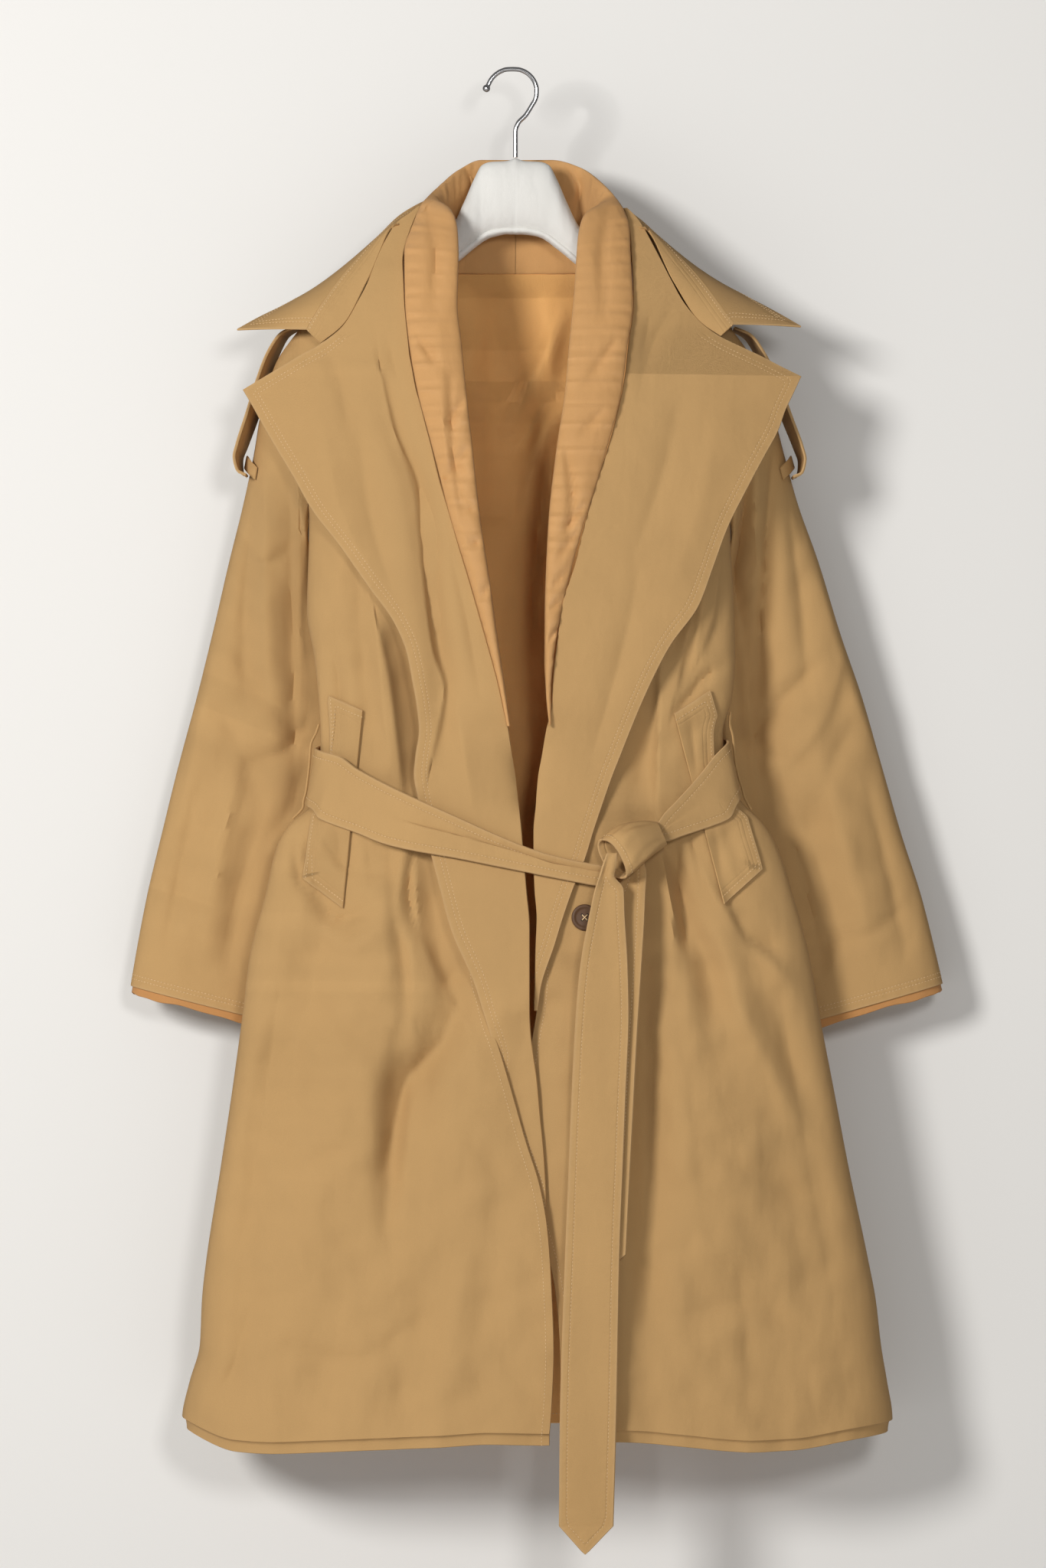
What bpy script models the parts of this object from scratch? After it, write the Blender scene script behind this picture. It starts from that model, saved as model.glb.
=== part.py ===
"""A belted trench coat with a warm padded inner coat, hanging open on a cloth-covered hanger.

The origin is the inside of the hanger's hook, +Z is up, the coat's front faces -Y and
the wearer's right is at -X. All tables are in millimetres.
"""

import math

import bmesh
import bpy
import numpy

MM = 0.001

# Cloth and seams
SHELL = 1.6                 # thickness of the khaki shell
LAPEL_CLOTH = 2.0           # lapel, collar and pocket welt: two layers
BELT_CLOTH = 2.4
LINING = 1.6
SEAM = 0.3                  # gap left between two pieces at a seam
ROUND = 2.2                 # how full a body section is: 2 is an ellipse

# Shoulders and armholes
SHOULDER_TIP = (208.0, -248.0)
UNDERARM_Z = -432.0
UNDERARM_X = {"right": -197.0, "left": 205.0}
SHOULDER_ROLL = 110.0       # height over which the shoulder rolls from its line to full depth

# Hanger
HOOK_WIRE = 2.2             # radius
HOOK_BEND = 21.5            # radius of the bend, to the middle of the wire

COLOURS = {
    "khaki": ((0.500, 0.330, 0.155), 0.85, 0.0),
    "lining": ((0.620, 0.350, 0.130), 0.60, 0.0),
    "hanger_cloth": ((0.800, 0.790, 0.760), 0.90, 0.0),
    "steel": ((0.550, 0.550, 0.560), 0.25, 1.0),
    "horn": ((0.095, 0.045, 0.020), 0.35, 0.0),
}

SIDE = {"right": -1.0, "left": 1.0}


# ------------------------------------------------------------------ curves and tables

def smooth_curve(keys, values):
    """A smooth curve through (key, value) pairs that never overshoots them."""
    keys = numpy.asarray(keys, float)
    values = numpy.asarray(values, float)
    steps = numpy.diff(keys)
    slopes = numpy.diff(values) / steps
    tangents = numpy.zeros(len(keys))
    tangents[0] = slopes[0]
    tangents[-1] = slopes[-1]
    for i in range(1, len(keys) - 1):
        if slopes[i - 1] * slopes[i] > 0:
            tangents[i] = 2 * slopes[i - 1] * slopes[i] / (slopes[i - 1] + slopes[i])

    def read(at):
        at = min(max(at, keys[0]), keys[-1])
        i = min(max(int(numpy.searchsorted(keys, at)) - 1, 0), len(steps) - 1)
        t = (at - keys[i]) / steps[i]
        h00 = (1 + 2 * t) * (1 - t) ** 2
        h10 = t * (1 - t) ** 2
        h01 = t * t * (3 - 2 * t)
        h11 = t * t * (t - 1)
        return float(h00 * values[i] + h10 * steps[i] * tangents[i]
                     + h01 * values[i + 1] + h11 * steps[i] * tangents[i + 1])

    return read


def columns(names, rows):
    """One smooth curve for each named column of a table, read against its first column."""
    data = numpy.array(sorted(rows), float)
    return {name: smooth_curve(data[:, 0], data[:, i])
            for i, name in enumerate(names.split()) if i > 0}


def stations(names, rows, count):
    """A table's rows resampled evenly along its length into count smooth stations."""
    data = numpy.array(rows, float)
    keys = numpy.arange(len(data))
    curves = [smooth_curve(keys, data[:, i]) for i in range(data.shape[1])]
    places = numpy.linspace(0, len(data) - 1, count)
    return [dict(zip(names.split(), [curve(at) for curve in curves])) for at in places]


# Half outline of the body, out to the side seams
OUTLINE = columns("z right left", [
    (-200, 208, 208), (-248, 208, 208), (-432, 197, 205), (-519, 199, 209), (-564, 192, 210),
    (-601, 188, 207), (-637, 186, 198), (-660, 186, 199), (-690, 189, 207), (-706, 195, 219),
    (-724, 216, 238), (-745, 228, 250), (-791, 239, 265), (-850, 254, 281), (-907, 261, 291),
    (-980, 271, 305), (-1053, 282, 319), (-1143, 296, 338), (-1180, 300, 345),
    (-1223, 302, 350), (-1259, 312, 356), (-1291, 319, 361), (-1330, 321, 362)])

# Depth of the body: the side seam, the front's crest and the back's crest
DEPTH = columns("z seam front back", [
    (-90, 0, -20, 34), (-180, 0, -44, 46), (-250, 0, -58, 56), (-350, -6, -68, 64),
    (-450, -12, -70, 66), (-550, -16, -64, 60), (-640, -18, -55, 52), (-700, -18, -53, 50),
    (-750, -16, -58, 54), (-850, -14, -68, 62), (-1000, -12, -80, 72), (-1150, -10, -88, 80),
    (-1330, -10, -93, 86)])

# Along the armhole: where the front's and the back's edges stand, and how full the section is
ARMHOLE = columns("z front back round", [
    (-200, -34, 36, 1.3), (-330, -36, 40, 1.3), (-385, -32, 32, 1.35), (-415, -22, 10, 1.7),
    (-432, -12, -12, ROUND), (-500, -14, -14, ROUND)])

# Shoulder line, out from the middle of the neck
SHOULDER = smooth_curve([0, 40, 80, 120, 160, 195, 208, 240],
                        [-90, -108, -138, -168, -202, -234, -248, -285])

# Back neckline
NECKLINE = smooth_curve([0, 45, 75, 96], [-184, -180, -166, -151])
NECK_SIDE = 96.0            # where the neckline meets the shoulder seam

# Front edges of the two fronts: under the lapel, then the leading edge
FRONT_EDGE = columns("z right left", [
    (-150, -104, 115), (-226, -111, 118), (-307, -100, 108), (-361, -86, 96), (-434, -67, 75),
    (-493, -49, 60), (-545, -34, 48), (-586, -23, 42), (-631, -14, 37), (-675, -5, 27),
    (-700, -4, 24), (-735, -18, 21), (-768, -30, 20), (-800, -37, 22), (-830, -40, 24),
    (-868, -37, 24), (-892, -33, 22), (-912, -31, 19), (-930, -25, 16), (-966, -11, 10), (-1022, 9, 8),
    (-1067, 23, 14), (-1107, 30, 24),
    (-1164, 34, 38), (-1219, 36, 43), (-1268, 34, 44), (-1301, 31, 45)])

# How far the left front passes under the right one, below the waist
UNDERLAP = smooth_curve([-1330, -1220, -1150, -900, -860, -800], [4, 7, 12, 12, 6, 0])
UNDERLAP_REACH = 45.0

# Lower edge of the shell, where it blouses over its tucked hem
HEM = smooth_curve([-320, -267, -241, -153, -72, -22, 34, 96, 150, 228, 265, 320, 361],
                   [-1291, -1309, -1310, -1306, -1302, -1299, -1300, -1297, -1301, -1308, -1307,
                    -1299, -1294])
HEM_ROWS = [(-1223, 0.3), (-1259, 0.7), (-1291, 1.0)]     # level, and how much it dips with the hem
BACK_HEM_DIPS = 0.4         # the back's hem is straighter
HEM_TUCK = [(2.5, 3.6), (11.5, 4.6)]      # how far each row drops and turns in

# Largest folds of the fronts and the back: a line down the cloth, its half width and its depth.
# A depth above zero is a trough.
FOLD_NAMES = "x_top z_top x_low z_low half_width depth"
FRONT_FOLDS = [
    (-120, -740, -98, -900, 13, 7.0), (-98, -860, -120, -1120, 22, 5.0),
    (-150, -470, -138, -640, 14, 4.0), (-165, -730, -215, -1000, 24, 4.0),
    (-196, -800, -270, -1240, 26, 4.0), (-60, -1080, -110, -1290, 34, 4.0),
    (-140, -1060, -190, -1290, 36, 4.0), (-10, -1000, -40, -1290, 22, 2.5),
    (150, -740, 205, -1010, 20, 5.0), (118, -780, 130, -1180, 20, 5.0),
    (215, -800, 300, -1280, 26, 4.0), (160, -1040, 190, -1290, 36, 4.0),
    (235, -1060, 250, -1290, 30, 4.0), (150, -560, 165, -660, 12, 4.0),
    (160, -470, 150, -590, 16, 3.0)]
BACK_FOLDS = [
    (-120, -500, -110, -650, 20, 4.0), (120, -500, 110, -650, 20, 4.0),
    (-110, -720, -150, -1290, 30, 8.0), (0, -720, 10, -1290, 34, 9.0),
    (115, -720, 160, -1290, 30, 8.0), (-190, -760, -240, -1290, 26, 6.0),
    (195, -760, 260, -1290, 26, 6.0)]


def fold_depth(folds, x, z):
    """How deep the folds press in at one place."""
    depth = 0.0
    for row in folds:
        fold = dict(zip(FOLD_NAMES.split(), row))
        along = (z - fold["z_top"]) / (fold["z_low"] - fold["z_top"])
        if -0.12 < along < 1.12:
            middle = fold["x_top"] + along * (fold["x_low"] - fold["x_top"])
            ends = math.sin(math.pi * min(max((along + 0.12) / 1.24, 0.0), 1.0)) ** 0.7
            across = (x - middle) / fold["half_width"]
            depth += fold["depth"] * ends * math.exp(-across * across)
    return depth


# ------------------------------------------------------------------ the body's surface

def side_name(x):
    return "right" if x < 0 else "left"


def side_x(z, side):
    """Where the side seam or the armhole stands."""
    if z > UNDERARM_Z:
        share = (z - UNDERARM_Z) / (SHOULDER_TIP[1] - UNDERARM_Z)
        share = min(share, 1.0)
        return UNDERARM_X[side] + share * (SIDE[side] * SHOULDER_TIP[0] - UNDERARM_X[side])
    return SIDE[side] * OUTLINE[side](z)


def seam_y(z, face):
    """How far forward or back the cloth stands at its side edge."""
    return ARMHOLE[face](z) if z > UNDERARM_Z else DEPTH["seam"](z)


def body_y(x, z, face, folded=True):
    """The middle of the cloth of the front or the back of the body."""
    edge = side_x(z, side_name(x))
    inside = min(max(1.0 - x / edge, 0.0), 1.0)
    fullness = ARMHOLE["round"](z)
    swell = (1.0 - (1.0 - inside) ** fullness) ** (1.0 / fullness)
    rim = seam_y(z, face)
    y = rim + (DEPTH[face](z) - rim) * swell
    roll = min(max((SHOULDER(abs(x)) - z) / SHOULDER_ROLL, 0.0), 1.0)
    y *= math.sqrt(1.0 - (1.0 - roll) ** 2)
    if folded:
        calm = min(inside / 0.12, 1.0)
        if face == "front":
            y += calm * fold_depth(FRONT_FOLDS, x, z)
        else:
            y -= calm * fold_depth(BACK_FOLDS, x, z)
    return y


def front_y(x, z, side, folded=True):
    """The middle of a front's cloth. The left front passes under the right one."""
    y = body_y(x, z, "front", folded)
    if side == "left":
        away = max(x - FRONT_EDGE["left"](z), 0.0) / UNDERLAP_REACH
        y += UNDERLAP(z) * math.exp(-away * away)
    return y


# ------------------------------------------------------------------ solids

def new_material(name):
    colour, roughness, metallic = COLOURS[name]
    material = bpy.data.materials.get(name)
    if material is None:
        material = bpy.data.materials.new(name)
        material.use_nodes = True
        shader = material.node_tree.nodes["Principled BSDF"]
        shader.inputs["Base Color"].default_value = (*colour, 1.0)
        shader.inputs["Roughness"].default_value = roughness
        shader.inputs["Metallic"].default_value = metallic
        material.diffuse_color = (*colour, 1.0)
    return material


def solid(name, points, faces, material):
    """A closed mesh object from points in millimetres."""
    mesh = bpy.data.meshes.new(name)
    mesh.from_pydata([tuple(value * MM for value in point) for point in points], [], faces)
    shape = bmesh.new()
    shape.from_mesh(mesh)
    bmesh.ops.recalc_face_normals(shape, faces=shape.faces)
    shape.to_mesh(mesh)
    shape.free()
    mesh.materials.append(new_material(material))
    piece = bpy.data.objects.new(name, mesh)
    bpy.context.collection.objects.link(piece)
    return piece


def surface_normals(grid, wrap):
    """Unit normals of a grid of points."""
    if wrap:
        across = numpy.roll(grid, -1, axis=1) - numpy.roll(grid, 1, axis=1)
    else:
        across = numpy.gradient(grid, axis=1)
    down = numpy.gradient(grid, axis=0)
    normals = numpy.cross(across, down)
    length = numpy.linalg.norm(normals, axis=2, keepdims=True)
    return normals / numpy.maximum(length, 1e-9)


def level_edge(normals, places, axis):
    """Keep the cloth's thickness at a seam square to one axis, so that two edges can meet."""
    normals[places + (axis,)] = 0.0
    length = numpy.linalg.norm(normals[places], axis=-1, keepdims=True)
    normals[places] = normals[places] / numpy.maximum(length, 1e-9)


def wall(name, rows, thickness, material, wrap=False, level=(), lift=0.0, normals=None):
    """Cloth of one thickness through a grid of points. wrap closes each row into a ring."""
    grid = numpy.array(rows, float)
    count, width = grid.shape[:2]
    if normals is None:
        normals = surface_normals(grid, wrap)
    for places, axis in level:
        level_edge(normals, places, axis)
    outer = (grid + normals * (lift + thickness / 2)).reshape(-1, 3)
    inner = (grid + normals * (lift - thickness / 2)).reshape(-1, 3)
    points = [tuple(p) for p in outer] + [tuple(p) for p in inner]
    back = count * width
    faces = []
    last = width if wrap else width - 1
    for r in range(count - 1):
        for c in range(last):
            n = (c + 1) % width
            a, b = r * width + c, r * width + n
            d, e = (r + 1) * width + c, (r + 1) * width + n
            faces.append((a, b, e, d))
            faces.append((back + d, back + e, back + b, back + a))
    for c in range(last):
        n = (c + 1) % width
        low = (count - 1) * width
        faces.append((n, c, back + c, back + n))
        faces.append((low + c, low + n, back + low + n, back + low + c))
    if not wrap:
        for r in range(count - 1):
            a, b = r * width, (r + 1) * width
            faces.append((a, b, back + b, back + a))
            c, d = a + width - 1, b + width - 1
            faces.append((d, c, back + c, back + d))
    return solid(name, points, faces, material)


def loft(name, rings, material):
    """A full closed shape through rings, with a fan over each end."""
    rings = numpy.array(rings, float)
    count, width = rings.shape[:2]
    points = [tuple(p) for p in rings.reshape(-1, 3)]
    faces = []
    for r in range(count - 1):
        for c in range(width):
            n = (c + 1) % width
            faces.append((r * width + c, r * width + n, (r + 1) * width + n, (r + 1) * width + c))
    for r in (0, count - 1):
        points.append(tuple(rings[r].mean(axis=0)))
        hub = len(points) - 1
        for c in range(width):
            n = (c + 1) % width
            faces.append((r * width + n, r * width + c, hub))
    return solid(name, points, faces, material)


def ring_round(centre, across, through, count, fullness=2.0):
    """Points round a section: across and through are its two half axes."""
    ring = []
    for i in range(count):
        angle = 2 * math.pi * i / count
        c, s = math.cos(angle), math.sin(angle)
        u = math.copysign(abs(c) ** (2 / fullness), c)
        v = math.copysign(abs(s) ** (2 / fullness), s)
        ring.append(numpy.array(centre) + u * numpy.array(across) + v * numpy.array(through))
    return ring


# ------------------------------------------------------------------ fronts and back

COLUMN_COUNT = 10
UPPER_ROWS = (0.0, 0.05, 0.15, 0.30, 0.47, 0.65, 0.83, 1.0)
LOWER_ROWS = (-470, -519, -570, -606, -640, -672, -690, -706, -716, -730, -750, -785, -825, -868,
              -912, -966, -1026, -1090, -1160)
SPREAD = [1.0 - math.cos(0.5 * math.pi * i / COLUMN_COUNT) ** (2 / ROUND)
          for i in range(COLUMN_COUNT + 1)]


def tucked_rows(row, seam_columns):
    """The blouse's tuck: rows that turn in and drop below the last full row."""
    row = numpy.array(row, float)
    along = numpy.gradient(row[:, :2], axis=0)
    inward = numpy.stack([-along[:, 1], along[:, 0]], axis=1)
    middle = -row[:, :2]
    middle[:, 1] += DEPTH["seam"](HEM_ROWS[-1][0])
    inward *= numpy.sign((inward * middle).sum(axis=1))[:, None]
    for c in seam_columns:
        inward[c] = (-numpy.sign(row[c, 0]), 0.0)
    inward /= numpy.linalg.norm(inward, axis=1)[:, None]
    rows = []
    for drop, turn in HEM_TUCK:
        rows.append([(p[0] + turn * n[0], p[1] + turn * n[1], p[2] - drop)
                     for p, n in zip(row, inward)])
    return rows


def upper_place(x_side, x_edge, spread, share, top):
    """A place in the yoke, between the shoulder or neck line and the underarm's level."""
    x = x_side + (x_edge - x_side) * spread
    z = top(x) + (UNDERARM_Z - top(x)) * share
    return x, z


def front_rows(side):
    """Grid of one front, from its side to its leading edge, shoulder to hem."""
    sign = SIDE[side]
    rows = []
    for share in UPPER_ROWS:
        z_side = SHOULDER_TIP[1] + (UNDERARM_Z - SHOULDER_TIP[1]) * share
        x_side = side_x(z_side, side)
        x_edge = FRONT_EDGE[side](-150)
        for _ in range(4):
            z_edge = SHOULDER(abs(x_edge)) + (UNDERARM_Z - SHOULDER(abs(x_edge))) * share
            x_edge = FRONT_EDGE[side](z_edge)
        row = []
        for spread in SPREAD:
            x, z = upper_place(x_side, x_edge, spread, share, lambda at: SHOULDER(abs(at)))
            row.append((x, front_y(x, z, side) - SEAM / 2, z))
        rows.append(row)
    for level, drop in [(z, 0.0) for z in LOWER_ROWS] + HEM_ROWS:
        x_side = side_x(level, side)
        x_edge = FRONT_EDGE[side](level)
        row = []
        for spread in SPREAD:
            x = x_side + (x_edge - x_side) * spread
            z = level + drop * (HEM(x) - HEM_ROWS[-1][0])
            row.append((x, front_y(x, z, side) - SEAM / 2, z))
        row[0] = (x_side, DEPTH["seam"](level) - SEAM / 2, row[0][2])
        rows.append(row)
    rows += tucked_rows(rows[-1], [0])
    return rows


def back_rows():
    """Grid of the back, from the right side seam to the left one."""
    halves = [("right", s) for s in SPREAD] + [("left", s) for s in SPREAD[-2::-1]]
    rows = []

    def top(x):
        return NECKLINE(abs(x)) if abs(x) < NECK_SIDE else SHOULDER(abs(x))

    for share in UPPER_ROWS:
        z_side = SHOULDER_TIP[1] + (UNDERARM_Z - SHOULDER_TIP[1]) * share
        row = []
        for side, spread in halves:
            x, z = upper_place(side_x(z_side, side), 0.0, spread, share, top)
            row.append((x, body_y(x, z, "back") + SEAM / 2, z))
        rows.append(row)
    for level, drop in [(z, 0.0) for z in LOWER_ROWS] + HEM_ROWS:
        row = []
        for side, spread in halves:
            x = side_x(level, side) * (1.0 - spread)
            z = level + drop * BACK_HEM_DIPS * (HEM(x) - HEM_ROWS[-1][0])
            row.append((x, body_y(x, z, "back") + SEAM / 2, z))
        for c, side in ((0, "right"), (-1, "left")):
            z = level + drop * (HEM(side_x(level, side)) - HEM_ROWS[-1][0])
            row[c] = (side_x(level, side), DEPTH["seam"](level) + SEAM / 2, z)
        rows.append(row)
    rows += tucked_rows(rows[-1], [0, -1])
    return rows


def seams(rows, side_columns):
    """Which edges of a body panel meet another piece, and the axis each is square to."""
    arm = len(UPPER_ROWS) - 2
    row_count = len(rows)
    level = [((0, c), 1) for c, place in enumerate(rows[0]) if abs(place[0]) > NECK_SIDE]
    for c in side_columns:
        level.append(((slice(0, arm), c), 0))
        level.append(((slice(arm + 2, row_count), c), 1))
    return level


def make_body():
    for side in SIDE:
        rows = front_rows(side)
        wall("front_" + side, rows, SHELL, "khaki", level=seams(rows, [0]))
    rows = back_rows()
    wall("back_panel", rows, SHELL, "khaki", level=seams(rows, [0, -1]))


# ------------------------------------------------------------------ lining

LINING_INSET = 12.0
LINING_LEVELS = (-192.8, -215, -250, -310, -400, -480, -570, -640, -700, -745, -825, -966,
                 -1110, -1230, -1306)
LINING_NECK = 60.0          # half width of its top, at the neck seam
LINING_NECK_Y = smooth_curve([0, 40, 60], [33, 30, 26])     # the padded collar's lower edge
LINING_COLUMNS = 14
# How much of the body's width it takes: at the shoulders, the chest and the skirt
LINING_WIDTHS = smooth_curve([-1330, -440, -420, -310, -300, -200],
                             [0.86, 0.86, 0.80, 0.80, 0.58, 0.58])


def make_lining_back():
    """The back lining hangs a little in front of the back, from the neck seam to the hem."""
    rows = []
    for z in LINING_LEVELS:
        right = LINING_WIDTHS(z) * side_x(z, "right")
        left = LINING_WIDTHS(z) * side_x(z, "left")
        if z == LINING_LEVELS[0]:
            right, left = -LINING_NECK, LINING_NECK
        row = []
        for i in range(LINING_COLUMNS + 1):
            x = right + (left - right) * i / LINING_COLUMNS
            y = body_y(x, z, "back") - LINING_INSET
            if z == LINING_LEVELS[0]:
                y = LINING_NECK_Y(abs(x))
            row.append((x, y, z))
        rows.append(row)
    wall("lining_back", rows, LINING, "lining")


# Padded shawl collar of the inner coat: its outer edge, at the khaki, and its inner roll
COLLAR_NAMES = "xo yo zo xi yi zi half"
SHAWL = {
    "right": [
        (-0.2, 33, -82, -0.2, 33, -192.5, 4.0), (-32, 31, -82, -40, 30, -192.5, 4.5),
        (-54, 22, -92, -54, 25, -182, 5.0), (-73, 2, -110, -62, 0, -129, 5.0),
        (-88, -17, -127, -60, -34, -140, 6.0), (-98, -29, -150, -55, -42, -158, 6.5),
        (-106, -42, -179, -54, -50, -184, 7.0), (-105, -56, -226, -55, -60, -228, 7.5),
        (-101, -66, -266, -51, -68, -266, 8.0), (-94, -72, -307, -47, -74, -307, 8.0),
        (-80, -76, -361, -41, -78, -361, 8.0), (-61, -78, -434, -33, -80, -434, 8.0),
        (-43, -78, -493, -24, -80, -493, 7.5), (-28, -76, -545, -17, -78, -545, 6.0),
        (-16, -73, -590, -10, -74, -592, 4.0), (-8, -71, -630, -5, -71, -630, 2.0)],
    "left": [
        (0.2, 33, -82, 0.2, 33, -192.5, 4.0), (34, 31, -82, 42, 30, -192.5, 4.5),
        (62, 22, -90, 58, 25, -182, 5.0), (84, 2, -108, 70, 0, -131, 5.0),
        (101, -17, -130, 66, -34, -142, 6.0), (109, -30, -153, 60, -42, -160, 6.5),
        (110, -42, -180, 58, -50, -184, 7.0), (112, -56, -226, 55, -60, -226, 7.5),
        (107, -66, -266, 51, -68, -266, 8.0), (101, -72, -312, 47, -74, -312, 8.0),
        (85, -76, -374, 38, -78, -374, 8.0), (64, -78, -442, 31, -80, -442, 8.0),
        (43, -78, -523, 28, -80, -523, 7.0), (36, -76, -567, 28, -78, -567, 5.5),
        (34, -74, -596, 29, -74, -598, 3.5), (34, -72, -628, 32, -72, -630, 2.0)],
}
SHAWL_STATIONS = 25
SHAWL_POINTS = 12


def make_shawl_collar(side):
    places = stations(COLLAR_NAMES, SHAWL[side], SHAWL_STATIONS)
    outer = numpy.array([(p["xo"], p["yo"], p["zo"]) for p in places])
    inner = numpy.array([(p["xi"], p["yi"], p["zi"]) for p in places])
    route = numpy.gradient((outer + inner) / 2, axis=0)
    route[0] = (SIDE[side], 0.0, 0.0)
    rings = []
    for o, i, way, place in zip(outer, inner, route, places):
        across = (o - i) / 2
        through = numpy.cross(across, way)
        through *= place["half"] / numpy.linalg.norm(through)
        rings.append(ring_round((o + i) / 2, across, through, SHAWL_POINTS, 2.6))
    loft("lining_collar_" + side, rings, "lining")


# ------------------------------------------------------------------ lapels

LAPEL_CREST = smooth_curve(
    [-1330, -1150, -1000, -850, -750, -700, -640, -600, -500, -400, -308, -265, -200, -180,
     -150, -128],
    [-101, -96, -88, -76, -66, -62, -66, -73, -80, -80, -73, -67, -51, -43, -30, -17])
LAPEL_FLARE = 0.0006        # how fast a lapel falls back from its crest, per mm squared

# Inner edge (seam with the padded collar, then the fold) and outer edge of each lapel
LAPEL_ROWS = {
    "right": [
        (-131, -90, -93), (-138, -94, -101), (-147, -98, -113), (-165, -104, -124),
        (-185, -108, -133), (-205, -107, -140), (-225, -106, -150), (-247, -104, -163),
        (-265, -102, -185), (-276, -101, -205), (-286, -99, -222), (-297, -97, -241),
        (-308, -95, -260), (-325, -90, -250), (-345, -85, -239), (-364, -80, -228),
        (-394, -73, -210), (-424, -64, -193), (-459, -54, -166), (-499, -42, -138),
        (-531, -33, -115), (-559, -25, -103), (-589, -17, -97), (-612, -12, -93),
        (-634, -7, -91), (-655, -4, -94), (-675, -1, -96), (-700, 2, -92), (-725, 5, -86),
        (-750, 7, -80), (-785, 10, -71), (-822, 13, -61), (-873, 13, -39), (-898, 13, -31),
        (-921, 14, -24), (-945, 17, -18), (-966, 20, -20), (-1000, 23, -10), (-1030, 26, 2),
        (-1060, 28, 13), (-1086, 29, 21)],
    "left": [
        (-133, 104, 107), (-140, 107, 114), (-150, 109, 121), (-165, 111, 129),
        (-185, 112, 139), (-205, 113, 149), (-225, 113, 160), (-247, 111, 179),
        (-258, 109, 195), (-267, 108, 214), (-276, 107, 234), (-286, 106, 254),
        (-295, 105, 273), (-312, 102, 265), (-329, 98, 257), (-346, 94, 251),
        (-374, 86, 236), (-404, 76, 220), (-440, 66, 202), (-478, 57, 188),
        (-515, 45, 174), (-553, 40, 147), (-577, 37, 134), (-612, 35, 118),
        (-634, 30, 109), (-657, 26, 100), (-680, 22, 91), (-706, 20, 82), (-730, 18, 74),
        (-756, 18, 66), (-786, 19, 54), (-812, 21, 45), (-838, 20, 37), (-878, 19, 24),
        (-900, 18, 21)],
}
# A line down the middle of each lapel, which a soft valley follows in the right one
LAPEL_MIDDLE = {
    "right": columns("z x depth", [
        (-131, -92, 0), (-165, -112, 0), (-205, -120, 0), (-247, -128, 0), (-280, -131, 0),
        (-306, -128, 1), (-355, -115, 4), (-396, -96, 6), (-434, -89, 7), (-492, -82, 7),
        (-587, -70, 6), (-612, -71, 4), (-640, -66, 1), (-700, -50, 0), (-785, -32, 0),
        (-873, -14, 0), (-966, 2, 0), (-1086, 25, 0)]),
    "left": columns("z x depth", [
        (-133, 106, 0), (-205, 126, 0), (-258, 135, 0), (-295, 150, 0), (-374, 135, 0),
        (-515, 90, 0), (-612, 66, 0), (-706, 44, 0), (-786, 32, 0), (-900, 19.5, 0)]),
}
VALLEY_HALF_WIDTH = 13.0
# How far the right lapel's lower end stands behind its front: it crosses over on its way down
LAPEL_CROSSING = smooth_curve([-1100, -966, -950, -925, -880, -700], [5, 5, 4, 0, -8, -8])
LAPEL_FOLD = (-720.0, -640.0)     # where a lapel's inner edge is a fold that meets its front
LAPEL_HALF_COLUMNS = 4


def lapel_y(x, z, side, fold_x):
    """The middle of a lapel's cloth."""
    y = LAPEL_CREST(z) + LAPEL_FLARE * x * x
    middle = LAPEL_MIDDLE[side]
    off = (x - middle["x"](z)) / VALLEY_HALF_WIDTH
    y += middle["depth"](z) * math.exp(-off * off)
    if z < -700:
        share = min((-700 - z) / 60, 1.0)
        stand = LAPEL_CROSSING(z) if side == "right" else -7.0
        y = y * (1 - share) + share * (front_y(x, z, side) + stand)
    if LAPEL_FOLD[0] < z < LAPEL_FOLD[1]:
        seat = front_y(x, z, side) - (LAPEL_CLOTH + SHELL) / 2 - 2 * SEAM
        share = math.exp(-abs(x - fold_x) / 8.0) * min((LAPEL_FOLD[1] - z) / 30, 1.0)
        share *= min((z - LAPEL_FOLD[0]) / 20, 1.0)
        y = y * (1 - share) + seat * share
    return y


def make_lapel(side):
    rows = []
    for z, inner, outer in LAPEL_ROWS[side]:
        middle = LAPEL_MIDDLE[side]["x"](z)
        stops = [inner + (middle - inner) * i / LAPEL_HALF_COLUMNS
                 for i in range(LAPEL_HALF_COLUMNS)]
        stops += [middle + (outer - middle) * i / LAPEL_HALF_COLUMNS
                  for i in range(LAPEL_HALF_COLUMNS + 1)]
        rows.append([(x, lapel_y(x, z, side, inner), z) for x in stops])
    wall("lapel_" + side, rows, LAPEL_CLOTH, "khaki")


# ------------------------------------------------------------------ collar

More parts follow.
